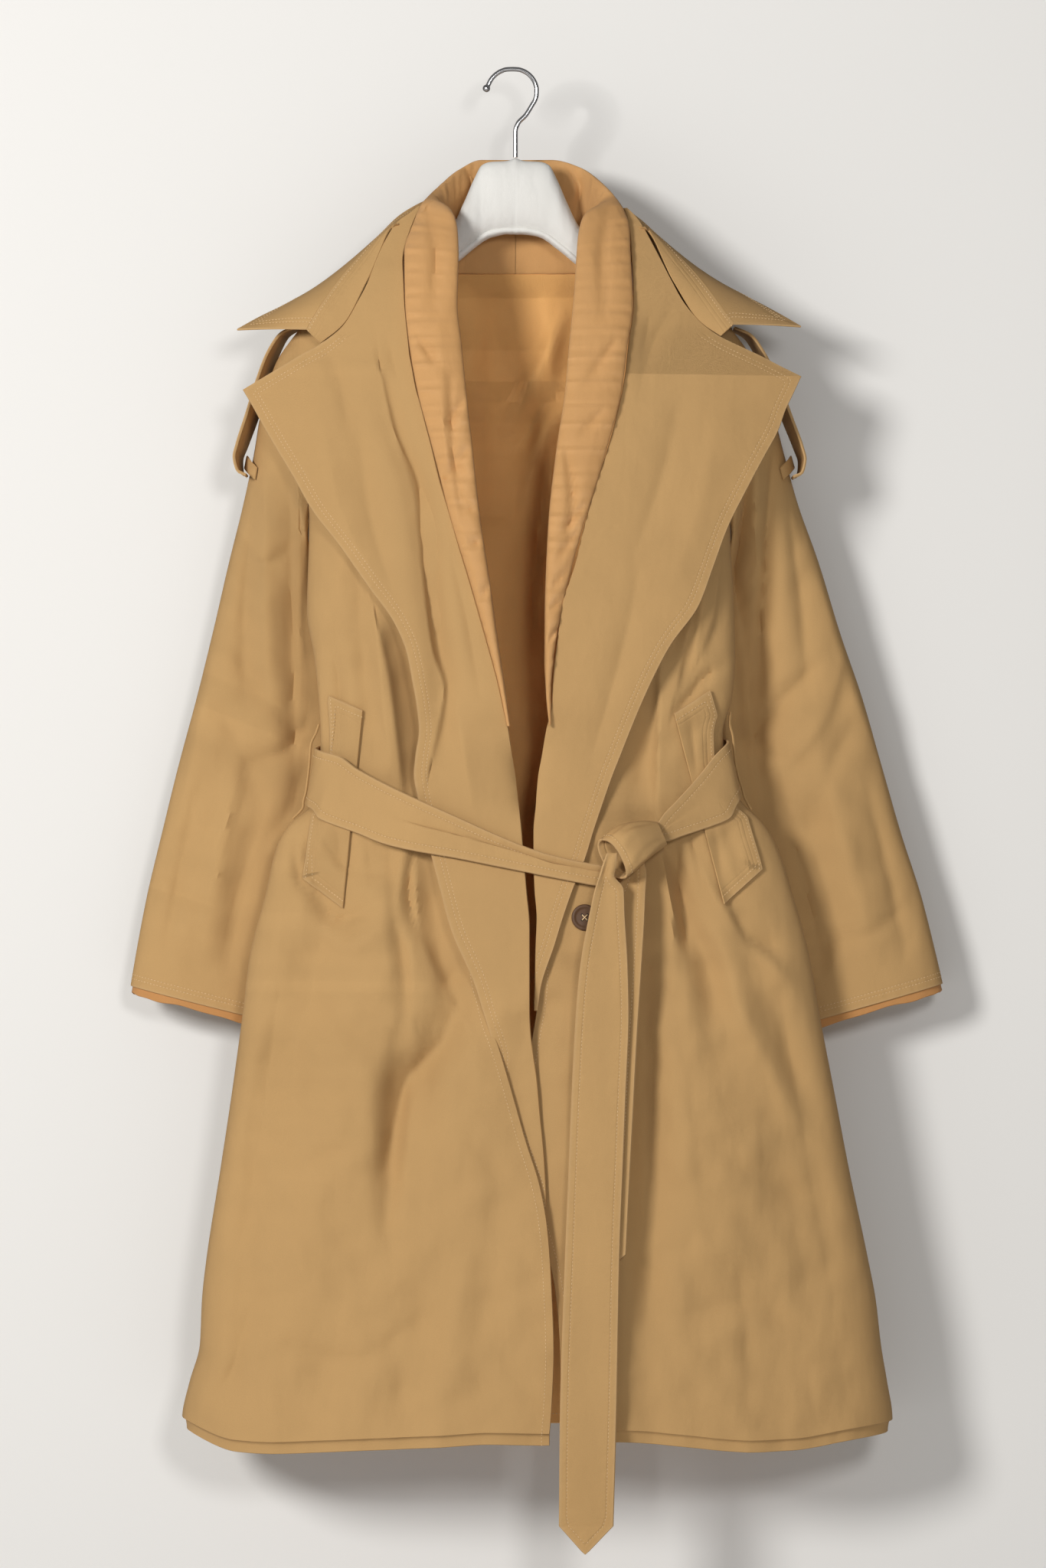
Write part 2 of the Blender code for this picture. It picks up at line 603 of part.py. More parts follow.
# Neck edge, stand seam and free edge of the collar, then what bends the leaf between the
# last two: how far towards the free edge the bend lies, and how far back and up it pushes.
# Each side runs from its notch to the middle of the back.
LEAF_NAMES = "xa ya za xm ym zm xb yb zb reach push_y push_z"
LEAF = {
    "right": [
        (-186, -46, -264, -199, -45, -251, -266, -24, -250, 0.5, -4, 1),
        (-164, -45, -246, -188, -42, -232, -243, -8, -236, 0.5, -4, 4),
        (-141, -41, -203, -170, -32, -206, -212, 14, -220, 0.45, -2, 8),
        (-119, -24, -147, -134, -10, -160, -165, 42, -201, 0.3, 2, 8),
        (-98, 2, -149, -106, 16, -134, -112, 58, -196, 0.15, 8, 12),
        (-60, 38, -174, -62, 41, -114, -58, 65, -200, 0.1, 10, 16),
        (0, 44, -183.4, 0, 46, -108, 0, 68, -209, 0.1, 11, 16)],
    "left": [
        (196, -43, -257, 208, -42, -246, 273, -22, -247, 0.5, -4, 1),
        (176, -43, -243, 196, -40, -230, 249, -8, -232, 0.5, -4, 4),
        (151, -40, -204, 176, -32, -203, 214, 14, -213, 0.45, -2, 8),
        (127, -24, -150, 140, -10, -160, 165, 42, -198, 0.3, 2, 8),
        (101, 2, -151, 109, 16, -134, 112, 58, -196, 0.15, 8, 12),
        (60, 38, -174, 62, 41, -114, 58, 65, -200, 0.1, 10, 16),
        (0, 44, -183.4, 0, 46, -108, 0, 68, -209, 0.1, 11, 16)],
}
LEAF_STATIONS = 12
LEAF_COLUMNS = 5
STAND_GAP = (0.5, 1.4)      # half the seam's gap where the cloth lies flat, and where it folds
NECK_GAP = 1.0
GORGE_FROM = {"right": 114.0, "left": 124.0}    # beyond here the stand's edge follows the lapel


def collar_stations():
    """Stations of the collar from the right notch round to the left one."""
    right = stations(LEAF_NAMES, LEAF["right"], LEAF_STATIONS)
    left = stations(LEAF_NAMES, LEAF["left"], LEAF_STATIONS)
    neck = numpy.array(back_rows()[0])
    for side, places in (("right", right), ("left", left)):
        for place in places:
            if abs(place["xa"]) < NECK_SIDE:
                place["ya"] = numpy.interp(place["xa"], neck[:, 0], neck[:, 1])
                place["za"] = numpy.interp(place["xa"], neck[:, 0], neck[:, 2]) + NECK_GAP
            elif abs(place["xa"]) > GORGE_FROM[side]:
                place["ya"] = lapel_y(place["xa"], place["za"], side, 0.0)
    return right + left[-2::-1]


def unit(vector):
    return vector / numpy.linalg.norm(vector)


def make_collar():
    stand, leaf = [], []
    for place in collar_stations():
        a = numpy.array([place["xa"], place["ya"], place["za"]])
        m = numpy.array([place["xm"], place["ym"], place["zm"]])
        b = numpy.array([place["xb"], place["yb"], place["zb"]])
        bend = m + (b - m) * place["reach"] + (0.0, place["push_y"], place["push_z"])
        flat = place["reach"] / 0.5
        gap = STAND_GAP[0] * flat + STAND_GAP[1] * (1 - flat)
        top = m - unit(m - a) * gap
        start = m + unit(bend - m) * gap
        stand.append([a + (top - a) * t for t in (0.0, 0.33, 0.67, 1.0)])
        leaf.append([(1 - t) ** 2 * start + 2 * t * (1 - t) * bend + t * t * b
                     for t in numpy.linspace(0, 1, LEAF_COLUMNS + 1)])
    wall("collar_stand", stand, LAPEL_CLOTH, "khaki")
    wall("collar_leaf", leaf, LAPEL_CLOTH, "khaki")


# ------------------------------------------------------------------ sleeves

SLEEVE_NAMES = "x_out z_out x_in z_in middle_y half_depth"
SLEEVES = {
    "right": [
        (-219, -260, -200.5, -440, 0, 37), (-231, -284, -200, -450, 5, 36),
        (-244, -326, -197.5, -466, 14, 35), (-252, -370, -196, -488, 22, 34),
        (-262, -415, -190, -520, 30, 33), (-276, -470, -178, -560, 38, 31),
        (-292, -538, -166, -608, 42, 30), (-308, -602, -164, -660, 46, 28),
        (-325, -665, -172, -715, 47, 27), (-341, -730, -194, -775, 47, 27),
        (-356, -793, -212, -835, 47, 27), (-366, -845, -222, -885, 47, 27),
        (-372, -880, -230, -916, 47, 27)],
    "left": [
        (219, -260, 208.5, -440, 0, 37), (231, -284, 208, -450, 5, 36),
        (248, -330, 205.5, -466, 14, 35), (259, -370, 204, -488, 22, 34),
        (272, -415, 199, -520, 30, 33), (292, -470, 190, -560, 38, 31),
        (313, -538, 180, -608, 42, 30), (335, -602, 176, -660, 46, 28),
        (354, -668, 188, -715, 47, 27), (373, -734, 216, -775, 47, 27),
        (392, -793, 236, -835, 47, 27), (406, -848, 250, -888, 47, 27),
        (413, -878, 258, -922, 47, 27)],
}
SLEEVE_POINTS = 18
SLEEVE_RINGS = 13
ARMHOLE_TURN = -360.0       # below here the body's side turns to face the sleeve
SLEEVE_FULLNESS = 2.3
# Sleeve folds: how far along (0 armhole, 1 cuff), where round the front, depth
SLEEVE_FOLDS = {"right": [(0.10, 0.75, 0.62, 5.0, 0.10)],
                "left": [(0.05, 0.60, 0.50, 6.0, 0.10), (0.05, 0.50, 0.30, 4.0, 0.08)]}


def armhole_ring(side):
    """First ring of a sleeve: the edge of the armhole, a seam's width away.

    Towards the underarm it clears the side of the body too.
    """
    ring = []
    for i in range(SLEEVE_POINTS):
        angle = 2 * math.pi * i / SLEEVE_POINTS
        middle = (SHOULDER_TIP[1] + UNDERARM_Z) / 2
        z = middle + (SHOULDER_TIP[1] - UNDERARM_Z) / 2 * math.cos(angle)
        x = side_x(z, side)
        face = "front" if math.sin(angle) > 0 else "back"
        y = body_y(x, z, face, False)
        if i in (0, SLEEVE_POINTS // 2):
            y = (body_y(x, z, "front", False) + body_y(x, z, "back", False)) / 2
        low = max((ARMHOLE_TURN - z) / (ARMHOLE_TURN - UNDERARM_Z), 0.0)
        ring.append((x + SIDE[side] * (SEAM + SHELL * min(low, 1.0)), y, z))
    return ring


def sleeve_fold(side, along, across):
    depth = 0.0
    for start, end, place, deep, width in SLEEVE_FOLDS[side]:
        share = (along - start) / (end - start)
        if 0 < share < 1:
            off = (across - place) / width
            depth += deep * math.sin(math.pi * share) * math.exp(-off * off)
    return depth


def sleeve_point(side, place, along, angle, shrink=0.0):
    """A point of the sleeve. The angle runs from its outer edge round its front."""
    outer = numpy.array([place["x_out"], place["z_out"]])
    inner = numpy.array([place["x_in"], place["z_in"]])
    middle, half = (outer + inner) / 2, (outer - inner) / 2
    half *= 1.0 - shrink / numpy.linalg.norm(half)
    c, s = math.cos(angle), math.sin(angle)
    u = math.copysign(abs(c) ** (2 / SLEEVE_FULLNESS), c)
    v = math.copysign(abs(s) ** (2 / SLEEVE_FULLNESS), s)
    x, z = middle + u * half
    y = place["middle_y"] - v * (place["half_depth"] - shrink)
    if v > 0:
        y += sleeve_fold(side, along, (1 - u) / 2)
    return numpy.array([x, y, z])


def sleeve_ring(side, place, along, shrink=0.0):
    return [sleeve_point(side, place, along, 2 * math.pi * i / SLEEVE_POINTS, shrink)
            for i in range(SLEEVE_POINTS)]


def sleeve_places(side, count):
    return stations(SLEEVE_NAMES, SLEEVES[side], count)


UNDERARM_EASE = 0.9         # the seam opens a little where it twists under the arm


def make_sleeve(side):
    """Two halves of a sleeve, front and back, which meet along its outer and inner seams."""
    places = sleeve_places(side, SLEEVE_RINGS)
    rings = [armhole_ring(side)]
    for i, place in enumerate(places):
        rings.append(sleeve_ring(side, place, i / (len(places) - 1)))
    rings = numpy.array(rings)
    normals = surface_normals(rings, True)
    half = SLEEVE_POINTS // 2
    level_edge(normals, (slice(0, 1), slice(None)), 0)
    level_edge(normals, (slice(None), (0, half)), 1)
    rings = numpy.concatenate([rings, rings[:, :1]], axis=1)
    normals = numpy.concatenate([normals, normals[:, :1]], axis=1)
    for name, first, away in (("front", 0, -1.0), ("back", half, 1.0)):
        columns_kept = slice(first, first + half + 1)
        rows = rings[:, columns_kept] + (0.0, away * SEAM / 2, 0.0)
        rows[:2, half if name == "front" else 0, 1] += away * UNDERARM_EASE
        wall("sleeve_" + name + "_" + side, rows, SHELL, "khaki",
             normals=normals[:, columns_kept])


CUFF_LINING_DEPTH = 36.0
CUFF_LINING_SHOWS = 7.0
CUFF_LINING_INSET = (SHELL + LINING) / 2 + 0.7


def make_cuff_lining(side):
    """The inner coat's sleeve, where it shows at the cuff."""
    places = sleeve_places(side, SLEEVE_RINGS)
    last, before = places[-1], places[-2]
    rings = []
    for shift in (-CUFF_LINING_DEPTH, 0.0, CUFF_LINING_SHOWS):
        place = dict(last)
        for x_name, z_name in (("x_out", "z_out"), ("x_in", "z_in")):
            way = numpy.array([last[x_name] - before[x_name], last[z_name] - before[z_name]])
            way /= numpy.linalg.norm(way)
            place[x_name] = last[x_name] + way[0] * shift
            place[z_name] = last[z_name] + way[1] * shift
        rings.append(sleeve_ring(side, place, 1.0, CUFF_LINING_INSET))
    wall("cuff_lining_" + side, rings, LINING, "lining", wrap=True)


# ------------------------------------------------------------------ shoulder straps

STRAP_WIDTH = 42.0
STRAP_CLOTH = 2.6
STRAP_MIDDLE_Y = 10.0
STRAPS = {
    "right": [(-209.5, -246.0), (-221.5, -252), (-233, -270), (-244, -300), (-254, -332), (-263, -358),
              (-267, -372), (-265, -384), (-259, -388)],
    "left": [(210.5, -247.3), (223.5, -254), (236, -272), (250, -302), (262, -334), (272, -360),
             (276, -374), (274, -386), (267, -390)],
}
KEEPER_ALONG = (0.25, 0.268)      # where along the sleeve the keeper stands
KEEPER_REACH = math.radians(40)
KEEPER_STAND = 4.0


def make_strap(side):
    """Shoulder strap that bows away from the sleeve head and curls back under its keeper."""
    spots = (-STRAP_WIDTH / 2, -STRAP_WIDTH / 6, STRAP_WIDTH / 6, STRAP_WIDTH / 2)
    rows = [[(p["x"], STRAP_MIDDLE_Y + y, p["z"]) for y in spots]
            for p in stations("x z", STRAPS[side], 12)]
    wall("epaulette_" + side, rows, STRAP_CLOTH, "khaki")


def make_keeper(side):
    """Narrow cloth loop that stands off the sleeve, for the strap."""
    rows = []
    base = (SHELL + LAPEL_CLOTH) / 2 + 3 * SEAM
    for along in KEEPER_ALONG:
        place = {name: smooth_curve(range(len(SLEEVES[side])), [row[i] for row in SLEEVES[side]])(
            along * (len(SLEEVES[side]) - 1)) for i, name in enumerate(SLEEVE_NAMES.split())}
        row = []
        for i in range(9):
            turn = -1 + i / 4
            angle = turn * KEEPER_REACH
            here = sleeve_point(side, place, along, angle)
            way = sleeve_point(side, place, along, angle + 0.02) - here
            out = unit(numpy.array([SIDE[side] * abs(way[1]), 0.0, 0.0])
                       + numpy.array([0.0, -math.copysign(abs(way[0]), turn), 0.0]))
            row.append(here + out * (base + KEEPER_STAND * (1 - turn ** 4)))
        rows.append(row)
    wall("epaulette_loop_" + side, rows, LAPEL_CLOTH, "khaki")


# ------------------------------------------------------------------ pockets and button

# Corners of each slanted welt: upper outer, upper inner, lower inner, lower outer
WELTS = {
    "right": [(-178, -601), (-146, -615), (-165, -803), (-203, -775)],
    "left": [(186, -596), (152, -618), (199, -799), (236, -766)],
}
WELT_GAP = 1.3              # the welt is stiffer than the shell and bridges its small dips
WELT_LIFT = (SHELL + LAPEL_CLOTH) / 2 + WELT_GAP
WELT_FROM_SIDE = 9.0


def read_rows(rows, x, z):
    """How far forward a panel's own grid stands at one place below the underarm."""
    levels = [row[-1][2] for row in rows]
    low = next(i for i, level in enumerate(levels) if level <= z)
    above, below = rows[low - 1], rows[low]
    share = (levels[low - 1] - z) / (levels[low - 1] - levels[low])
    depths = []
    for row in (above, below):
        ordered = sorted(row)
        depths.append(numpy.interp(x, [p[0] for p in ordered], [p[1] for p in ordered]))
    return depths[0] + (depths[1] - depths[0]) * share


def make_welt(side):
    """A pocket welt, made from the front's own points moved out."""
    panel = front_rows(side)
    outer_top, inner_top, inner_low, outer_low = [numpy.array(p, float) for p in WELTS[side]]
    rows = []
    for r in range(11):
        t = r / 10
        outer = outer_top + (outer_low - outer_top) * t
        inner = inner_top + (inner_low - inner_top) * t
        widest = abs(side_x(outer[1], side)) - WELT_FROM_SIDE
        outer[0] = SIDE[side] * min(abs(outer[0]), widest)
        row = []
        for u in (0.0, 0.25, 0.5, 0.75, 1.0):
            x, z = outer + (inner - outer) * u
            row.append((x, read_rows(panel, x, z), z))
        rows.append(row)
    if side == "right":
        rows = [row[::-1] for row in rows]
    wall("pocket_welt_" + side, rows, LAPEL_CLOTH, "khaki", lift=WELT_LIFT)


BUTTON_AT = (66.0, -812.0)
BUTTON_STANDS = 0.5         # gap between the front's cloth and the button's back
# Rim and face of the button: height above its back, and radius
BUTTON_RINGS = ((0.0, 11.0), (0.8, 12.5), (2.6, 12.5), (3.4, 11.6), (3.2, 9.4), (2.5, 8.6),
                (2.4, 3.0))
BUTTON_POINTS = 16


def make_button():
    x, z = BUTTON_AT
    step = 4.0
    y = front_y(x, z, "left")
    slope_x = (front_y(x + step, z, "left") - y) / step
    slope_z = (front_y(x, z + step, "left") - y) / step
    out = numpy.array([slope_x, -1.0, slope_z])
    out /= numpy.linalg.norm(out)
    across = numpy.cross(out, (0.0, 0.0, 1.0))
    across /= numpy.linalg.norm(across)
    up = numpy.cross(across, out)
    base = numpy.array([x, y - SEAM / 2, z]) + out * (SHELL / 2 + BUTTON_STANDS)
    rings = []
    for height, radius in BUTTON_RINGS:
        rings.append(ring_round(base + out * height, across * radius, up * radius, BUTTON_POINTS))
    loft("button_waist", rings, "horn")


# ------------------------------------------------------------------ belt

# The belt from the knot's left end, round the back, to the knot's right end.
# In front it lies over the lapels: where its upper and lower edges stand, and how far forward.
BELT_NAMES = "x_top z_top x_low z_low y"
BELT_FROM_KNOT = [(128, -725, 134, -741, -71), (135.5, -724, 142, -739, -66),
                  (141, -714, 149, -738, -62), (152, -705, 158, -733, -57)]
BELT_TO_KNOT = [
    (-157, -668, -155, -729, -52), (-127, -684, -126, -741, -60), (-96, -699, -96, -748, -67),
    (-60, -715, -60, -754, -71), (-20, -733, -20, -762, -72), (20, -749, 20, -770, -72),
    (55, -758, 55, -777, -70.5), (76, -762, 77, -781, -69.5), (97, -765, 98, -783, -69.5)]
# Round the sides and the back it hugs the shell: degrees from the left side seam, round the
# back, with both its edges and how far it stands off
HUG_NAMES = "turn z_top z_low stand"
BELT_HUG = [(-34, -680, -722, 8.0), (-18, -655, -704, 8.0), (-6, -646, -696, 6.5),
            (6, -642, -692, 4.5), (30, -641, -691, 4.0), (90, -644, -694, 4.0),
            (150, -646, -697, 4.0), (174, -650, -702, 4.5), (186, -652, -705, 6.5),
            (198, -655, -709, 9.0), (212, -660, -720, 10.0)]


def section_place(turn, z, stand):
    """A point round the body's section at one level, some way off its cloth."""
    def place(degrees):
        angle = math.radians(degrees)
        c, s = math.cos(angle), math.sin(angle)
        side = "left" if c > 0 else "right"
        face = "back" if s > 0 else "front"
        x = side_x(z, side) * abs(c) ** (2 / ROUND)
        y = DEPTH["seam"](z) + (DEPTH[face](z) - DEPTH["seam"](z)) * abs(s) ** (2 / ROUND)
        return numpy.array([x, y, z])
    way = place(turn + 1.5) - place(turn - 1.5)
    out = unit(numpy.array([way[1], -way[0], 0.0]))
    return place(turn) + out * stand


def belt_edges():
    """Upper and lower edge of the belt at each station."""
    edges = [((p[0], p[4], p[1]), (p[2], p[4], p[3])) for p in BELT_FROM_KNOT]
    for p in stations(HUG_NAMES, BELT_HUG, 26):
        edges.append((section_place(p["turn"], p["z_top"], p["stand"]),
                      section_place(p["turn"], p["z_low"], p["stand"])))
    places = stations(BELT_NAMES, BELT_TO_KNOT, 12)
    edges += [((p["x_top"], p["y"], p["z_top"]), (p["x_low"], p["y"], p["z_low"]))
              for p in places]
    return edges


def make_belt_waist():
    rows = []
    for top, low in belt_edges():
        top, low = numpy.array(top, float), numpy.array(low, float)
        rows.append([top + (low - top) * t for t in (0.0, 0.5, 1.0)])
    wall("belt_waist", rows, BELT_CLOTH, "khaki")


# The knot: a flat wrap open at both ends. Middle of each ring, its half height and half depth.
KNOT_NAMES = "x y z half_height half_depth"
KNOT = [(139, -66, -732, 11, 8), (128, -73, -735, 15, 11), (114, -80, -741, 19, 13),
        (102, -84, -749, 20.5, 13), (92, -86, -756, 20, 12)]
KNOT_SLANT = math.radians(25)


def make_knot():
    rings = []
    for p in stations(KNOT_NAMES, KNOT, 7):
        up = numpy.array([-math.sin(KNOT_SLANT), 0.0, math.cos(KNOT_SLANT)]) * p["half_height"]
        out = numpy.array([0.0, -1.0, 0.0]) * p["half_depth"]
        rings.append(ring_round((p["x"], p["y"], p["z"]), up, out, 18, 2.4))
    wall("belt_knot", rings, BELT_CLOTH, "khaki", wrap=True)


# Tails: level, both edges and how far forward
TAIL_NAMES = "z x_left x_right y"
TAILS = {
    "long": [(-751, 87, 96, -94.6), (-762, 83, 95, -93), (-772, 80, 93, -91), (-785, 78, 100, -91),
             (-808, 75, 106, -92), (-859, 66, 107, -92),
             (-904, 59, 109, -92), (-979, 54, 104, -94), (-1053, 51, 101, -97),
             (-1128, 48, 98, -100), (-1278, 43, 95, -104), (-1386, 42, 92, -105)],
    "short": [(-754, 104, 120, -67.2), (-770, 103, 124, -69), (-785, 98, 123, -74),
              (-810, 88, 122, -80), (-860, 82, 119, -83),
              (-921, 74, 115, -86), (-996, 64, 111, -89), (-1070, 58, 107, -92),
              (-1130, 55, 104, -95)],
}
TAIL_POINT = {"long": (66, -1413), "short": (80, -1150)}


def make_tail(name):
    rows = []
    for p in stations(TAIL_NAMES, TAILS[name], 17 if name == "long" else 11):
        span = p["x_right"] - p["x_left"]
        rows.append([(p["x_left"] + span * t, p["y"], p["z"])
                     for t in (0.0, 0.25, 0.5, 0.75, 1.0)])
    tip_x, tip_z = TAIL_POINT[name]
    last = rows[-1]
    for share in (0.5, 0.96):
        rows.append([(x + (tip_x - x) * share, y, z + (tip_z - z) * share)
                     for x, y, z in last])
    wall("belt_tail_" + name, rows, BELT_CLOTH, "khaki")


BELT_LOOP_WIDTH = 9.0
BELT_LOOP_Y = -14.0
# Level of each bend of the loop and how far it stands off the side seam
BELT_LOOPS = {
    "right": [(-628, 2.2), (-636, 5.0), (-648, 10.0), (-675, 11.5), (-698, 11.0), (-709, 7.0),
              (-718, 3.8)],
    "left": [(-616, 3.2), (-627, 6.0), (-640, 10.5), (-665, 11.5), (-688, 11.0), (-700, 7.0),
             (-709, 4.0)],
}


def make_belt_loop(side):
    """Narrow loop over the belt at the side seam."""
    rows = []
    for p in stations("z stand", BELT_LOOPS[side], 9):
        x = side_x(p["z"], side) + SIDE[side] * p["stand"]
        rows.append([(x, BELT_LOOP_Y + y, p["z"])
                     for y in (-BELT_LOOP_WIDTH / 2, BELT_LOOP_WIDTH / 2)])
    wall("belt_loop_" + side, rows, LAPEL_CLOTH, "khaki")


# ------------------------------------------------------------------ hanger

# Neck block and one arm, out from the middle: top, bottom and half thickness
HANGER_NAMES = "x top low half"
HANGER = [(0, -83, -153, 15), (8, -86, -153, 15), (24, -87, -156, 15), (32, -90, -160, 15),
          (40, -104, -166, 15), (50, -127, -174, 13), (62, -150, -184, 11), (90, -170, -200, 9),
          (130, -193.3, -224, 7), (160, -204.5, -234, 6), (185, -227.3, -250, 5),
          (198, -239.5, -254, 4), (203, -246.3, -254, 2.5)]
HANGER_POINTS = 10


def make_hanger():
    half = stations(HANGER_NAMES, HANGER, 17)
    places = [dict(p, x=-p["x"]) for p in half[:0:-1]] + half
    rings = []
    for p in places:
        centre = (p["x"], 0.0, (p["top"] + p["low"]) / 2)
        rings.append(ring_round(centre, (0, 0, (p["top"] - p["low"]) / 2), (0, p["half"], 0),
                                HANGER_POINTS, 2.2))
    loft("hanger_body", rings, "hanger_cloth")


def hook_route():
    """Middle of the wire: up the stem, round the bend and out to the open end."""
    centre = (-1.0, HOOK_WIRE - HOOK_BEND)
    route = [(0.0, -82.7), (0.0, -70.0), (0.0, -58.0), (2.5, -50.0), (10.0, -42.0)]
    for i in range(15):
        turn = math.radians(-38 + 205 * i / 14)
        radius = HOOK_BEND + (4.5 * (i - 9) / 5 if i > 9 else 0.0)
        route.append((centre[0] + radius * math.cos(turn), centre[1] + radius * math.sin(turn)))
    return route


def make_hook():
    route = numpy.array([(x, 0.0, z) for x, z in hook_route()])
    ways = numpy.gradient(route, axis=0)
    radii = [HOOK_WIRE] * len(route)
    end = ways[-1] / numpy.linalg.norm(ways[-1])
    route = list(route) + [route[-1] + end * s for s in (1.2, 3.0, 4.8, 6.0)]
    radii += [3.0, 3.6, 2.8, 1.0]
    ways = list(ways) + [end] * 4
    rings = []
    for middle, way, radius in zip(route, ways, radii):
        way = way / numpy.linalg.norm(way)
        side = numpy.array([0.0, radius, 0.0])
        rings.append(ring_round(middle, numpy.cross(way, side), side, 10))
    loft("hanger_hook", rings, "steel")


# ------------------------------------------------------------------ build

def clear_scene():
    for thing in list(bpy.data.objects):
        bpy.data.objects.remove(thing)


def main():
    clear_scene()
    make_hook()
    make_hanger()
    make_body()
    make_lining_back()
    make_collar()
    for side in SIDE:
        make_lapel(side)
        make_shawl_collar(side)
        make_sleeve(side)
        make_cuff_lining(side)
        make_strap(side)
        make_keeper(side)
        make_welt(side)
        make_belt_loop(side)
    make_belt_waist()
    make_knot()
    make_tail("long")
    make_tail("short")
    make_button()


main()
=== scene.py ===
# %% [markdown]
# # A trench coat on its hanger
# A maker cuts a trench coat from flat cloth, sews the pieces and hangs it up, and its own
# weight then bends the cloth into long soft folds. The frame loaded here knows each cut piece
# as a plain rigid solid. This lesson gives every piece its cloth: the same form with finer
# folds, a woven surface, rows of stitches, and the light of a small studio.
# All sizes are in millimetres until a mesh is made, because that is how a maker works.

# %% Load the frame
import math

import bpy
import numpy as np
from mathutils import Matrix, Vector


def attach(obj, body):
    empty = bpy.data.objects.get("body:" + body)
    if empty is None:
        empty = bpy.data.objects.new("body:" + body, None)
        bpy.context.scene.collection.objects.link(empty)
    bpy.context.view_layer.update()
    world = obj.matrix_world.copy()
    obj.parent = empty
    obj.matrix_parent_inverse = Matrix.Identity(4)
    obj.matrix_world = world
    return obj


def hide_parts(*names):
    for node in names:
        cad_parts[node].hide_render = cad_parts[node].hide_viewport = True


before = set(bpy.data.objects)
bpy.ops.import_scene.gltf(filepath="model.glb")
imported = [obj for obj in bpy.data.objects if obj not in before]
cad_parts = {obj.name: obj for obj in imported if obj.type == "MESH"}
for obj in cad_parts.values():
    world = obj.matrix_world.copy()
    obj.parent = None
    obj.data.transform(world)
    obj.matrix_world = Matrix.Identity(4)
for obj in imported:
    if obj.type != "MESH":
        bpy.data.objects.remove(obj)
for spare in ("Cube", "Light", "Camera"):          # what an empty Blender file starts with
    if spare in bpy.data.objects:
        bpy.data.objects.remove(bpy.data.objects[spare])
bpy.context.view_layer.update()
MM = 0.001
SIDE = {"right": -1.0, "left": 1.0}      # the wearer's right hangs at -X
print("solids in the frame:", len(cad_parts))

# %% [markdown]
# ## Curves read from short tables
# A coat pattern is a handful of measurements: so far out at this level, so far forward at
# that one. A cubic spline could join them, but it swings past its points and makes bumps.
# A monotone curve never overshoots, so each piece is described by a small table and read as
# finely as needed. Everything works on whole arrays, which is what makes Python fast here.

# %% Curves and tables
def curve(keys, values):
    """A smooth curve through pairs of numbers that never overshoots them."""
    keys, values = np.asarray(keys, float), np.asarray(values, float)
    steps = np.diff(keys)
    slopes = np.diff(values) / steps
    tangents = np.concatenate([slopes[:1], np.zeros(len(keys) - 2), slopes[-1:]])
    for i in range(1, len(keys) - 1):
        if slopes[i - 1] * slopes[i] > 0:
            tangents[i] = 2 * slopes[i - 1] * slopes[i] / (slopes[i - 1] + slopes[i])

    def read(at):
        at = np.clip(at, keys[0], keys[-1])
        i = np.clip(np.searchsorted(keys, at) - 1, 0, len(steps) - 1)
        t = (at - keys[i]) / steps[i]
        return ((1 + 2 * t) * (1 - t) ** 2 * values[i] + t * (1 - t) ** 2 * steps[i] * tangents[i]
                + t * t * (3 - 2 * t) * values[i + 1]
                + t * t * (t - 1) * steps[i] * tangents[i + 1])

    return read


def columns(names, rows):
    """One curve for each named column of a table, read against its first column."""
    data = np.array(sorted(rows), float)
    return {name: curve(data[:, 0], data[:, i]) for i, name in enumerate(names.split()) if i}


def stations(names, rows, count):
    """A table's rows resampled evenly into count stations: a dictionary of arrays."""
    data = np.array(rows, float)
    places = np.linspace(0, len(data) - 1, count)
    return {name: curve(range(len(data)), data[:, i])(places)
            for i, name in enumerate(names.split())}


def point(*values):
    """Stack x, y and z arrays into points."""
    return np.stack(np.broadcast_arrays(*values), axis=-1).astype(float)


def ramp(value, start, end):
    """0 up to start, 1 from end on, and a straight change between. end may be the lower one."""
    return np.clip((value - start) / (end - start), 0, 1)


def unit(vectors):
    return vectors / np.maximum(np.linalg.norm(vectors, axis=-1, keepdims=True), 1e-9)


# %% [markdown]
# ## The form of the body
# Seen from above, a hanging coat is a flat oval: two side seams, a front that swells forward
# and a back that swells back. These tables give the outline and the depth at each level. The
# rest of the body is worked out from them, so the cloth meets at every seam.

# %% Sizes of the body
SHELL, LAPEL_CLOTH, BELT_CLOTH, LINING, SEAM = 1.6, 2.0, 2.4, 1.6, 0.3
TIP_X, TIP_Z = 208.0, -248.0             # shoulder tip
UNDERARM_Z = -432.0
UNDERARM_X = {-1.0: -197.0, 1.0: 205.0}
SHOULDER_ROLL, ROUND, NECK_SIDE = 110.0, 2.2, 96.0

OUTLINE = columns("z right left", [
    (-200, 208, 208), (-248, 208, 208), (-432, 197, 205), (-519, 199, 209), (-564, 192, 210),
    (-601, 188, 207), (-637, 186, 198), (-660, 186, 199), (-690, 189, 207), (-706, 195, 219),
    (-724, 216, 238), (-745, 228, 250), (-791, 239, 265), (-850, 254, 281), (-907, 261, 291),
    (-980, 271, 305), (-1053, 282, 319), (-1143, 296, 338), (-1180, 300, 345),
    (-1223, 302, 350), (-1259, 312, 356), (-1291, 319, 361), (-1330, 321, 362)])
DEPTH = columns("z seam front back", [
    (-90, 0, -20, 34), (-180, 0, -44, 46), (-250, 0, -58, 56), (-350, -6, -68, 64),
    (-450, -12, -70, 66), (-550, -16, -64, 60), (-640, -18, -55, 52), (-700, -18, -53, 50),
    (-750, -16, -58, 54), (-850, -14, -68, 62), (-1000, -12, -80, 72), (-1150, -10, -88, 80),
    (-1330, -10, -93, 86)])
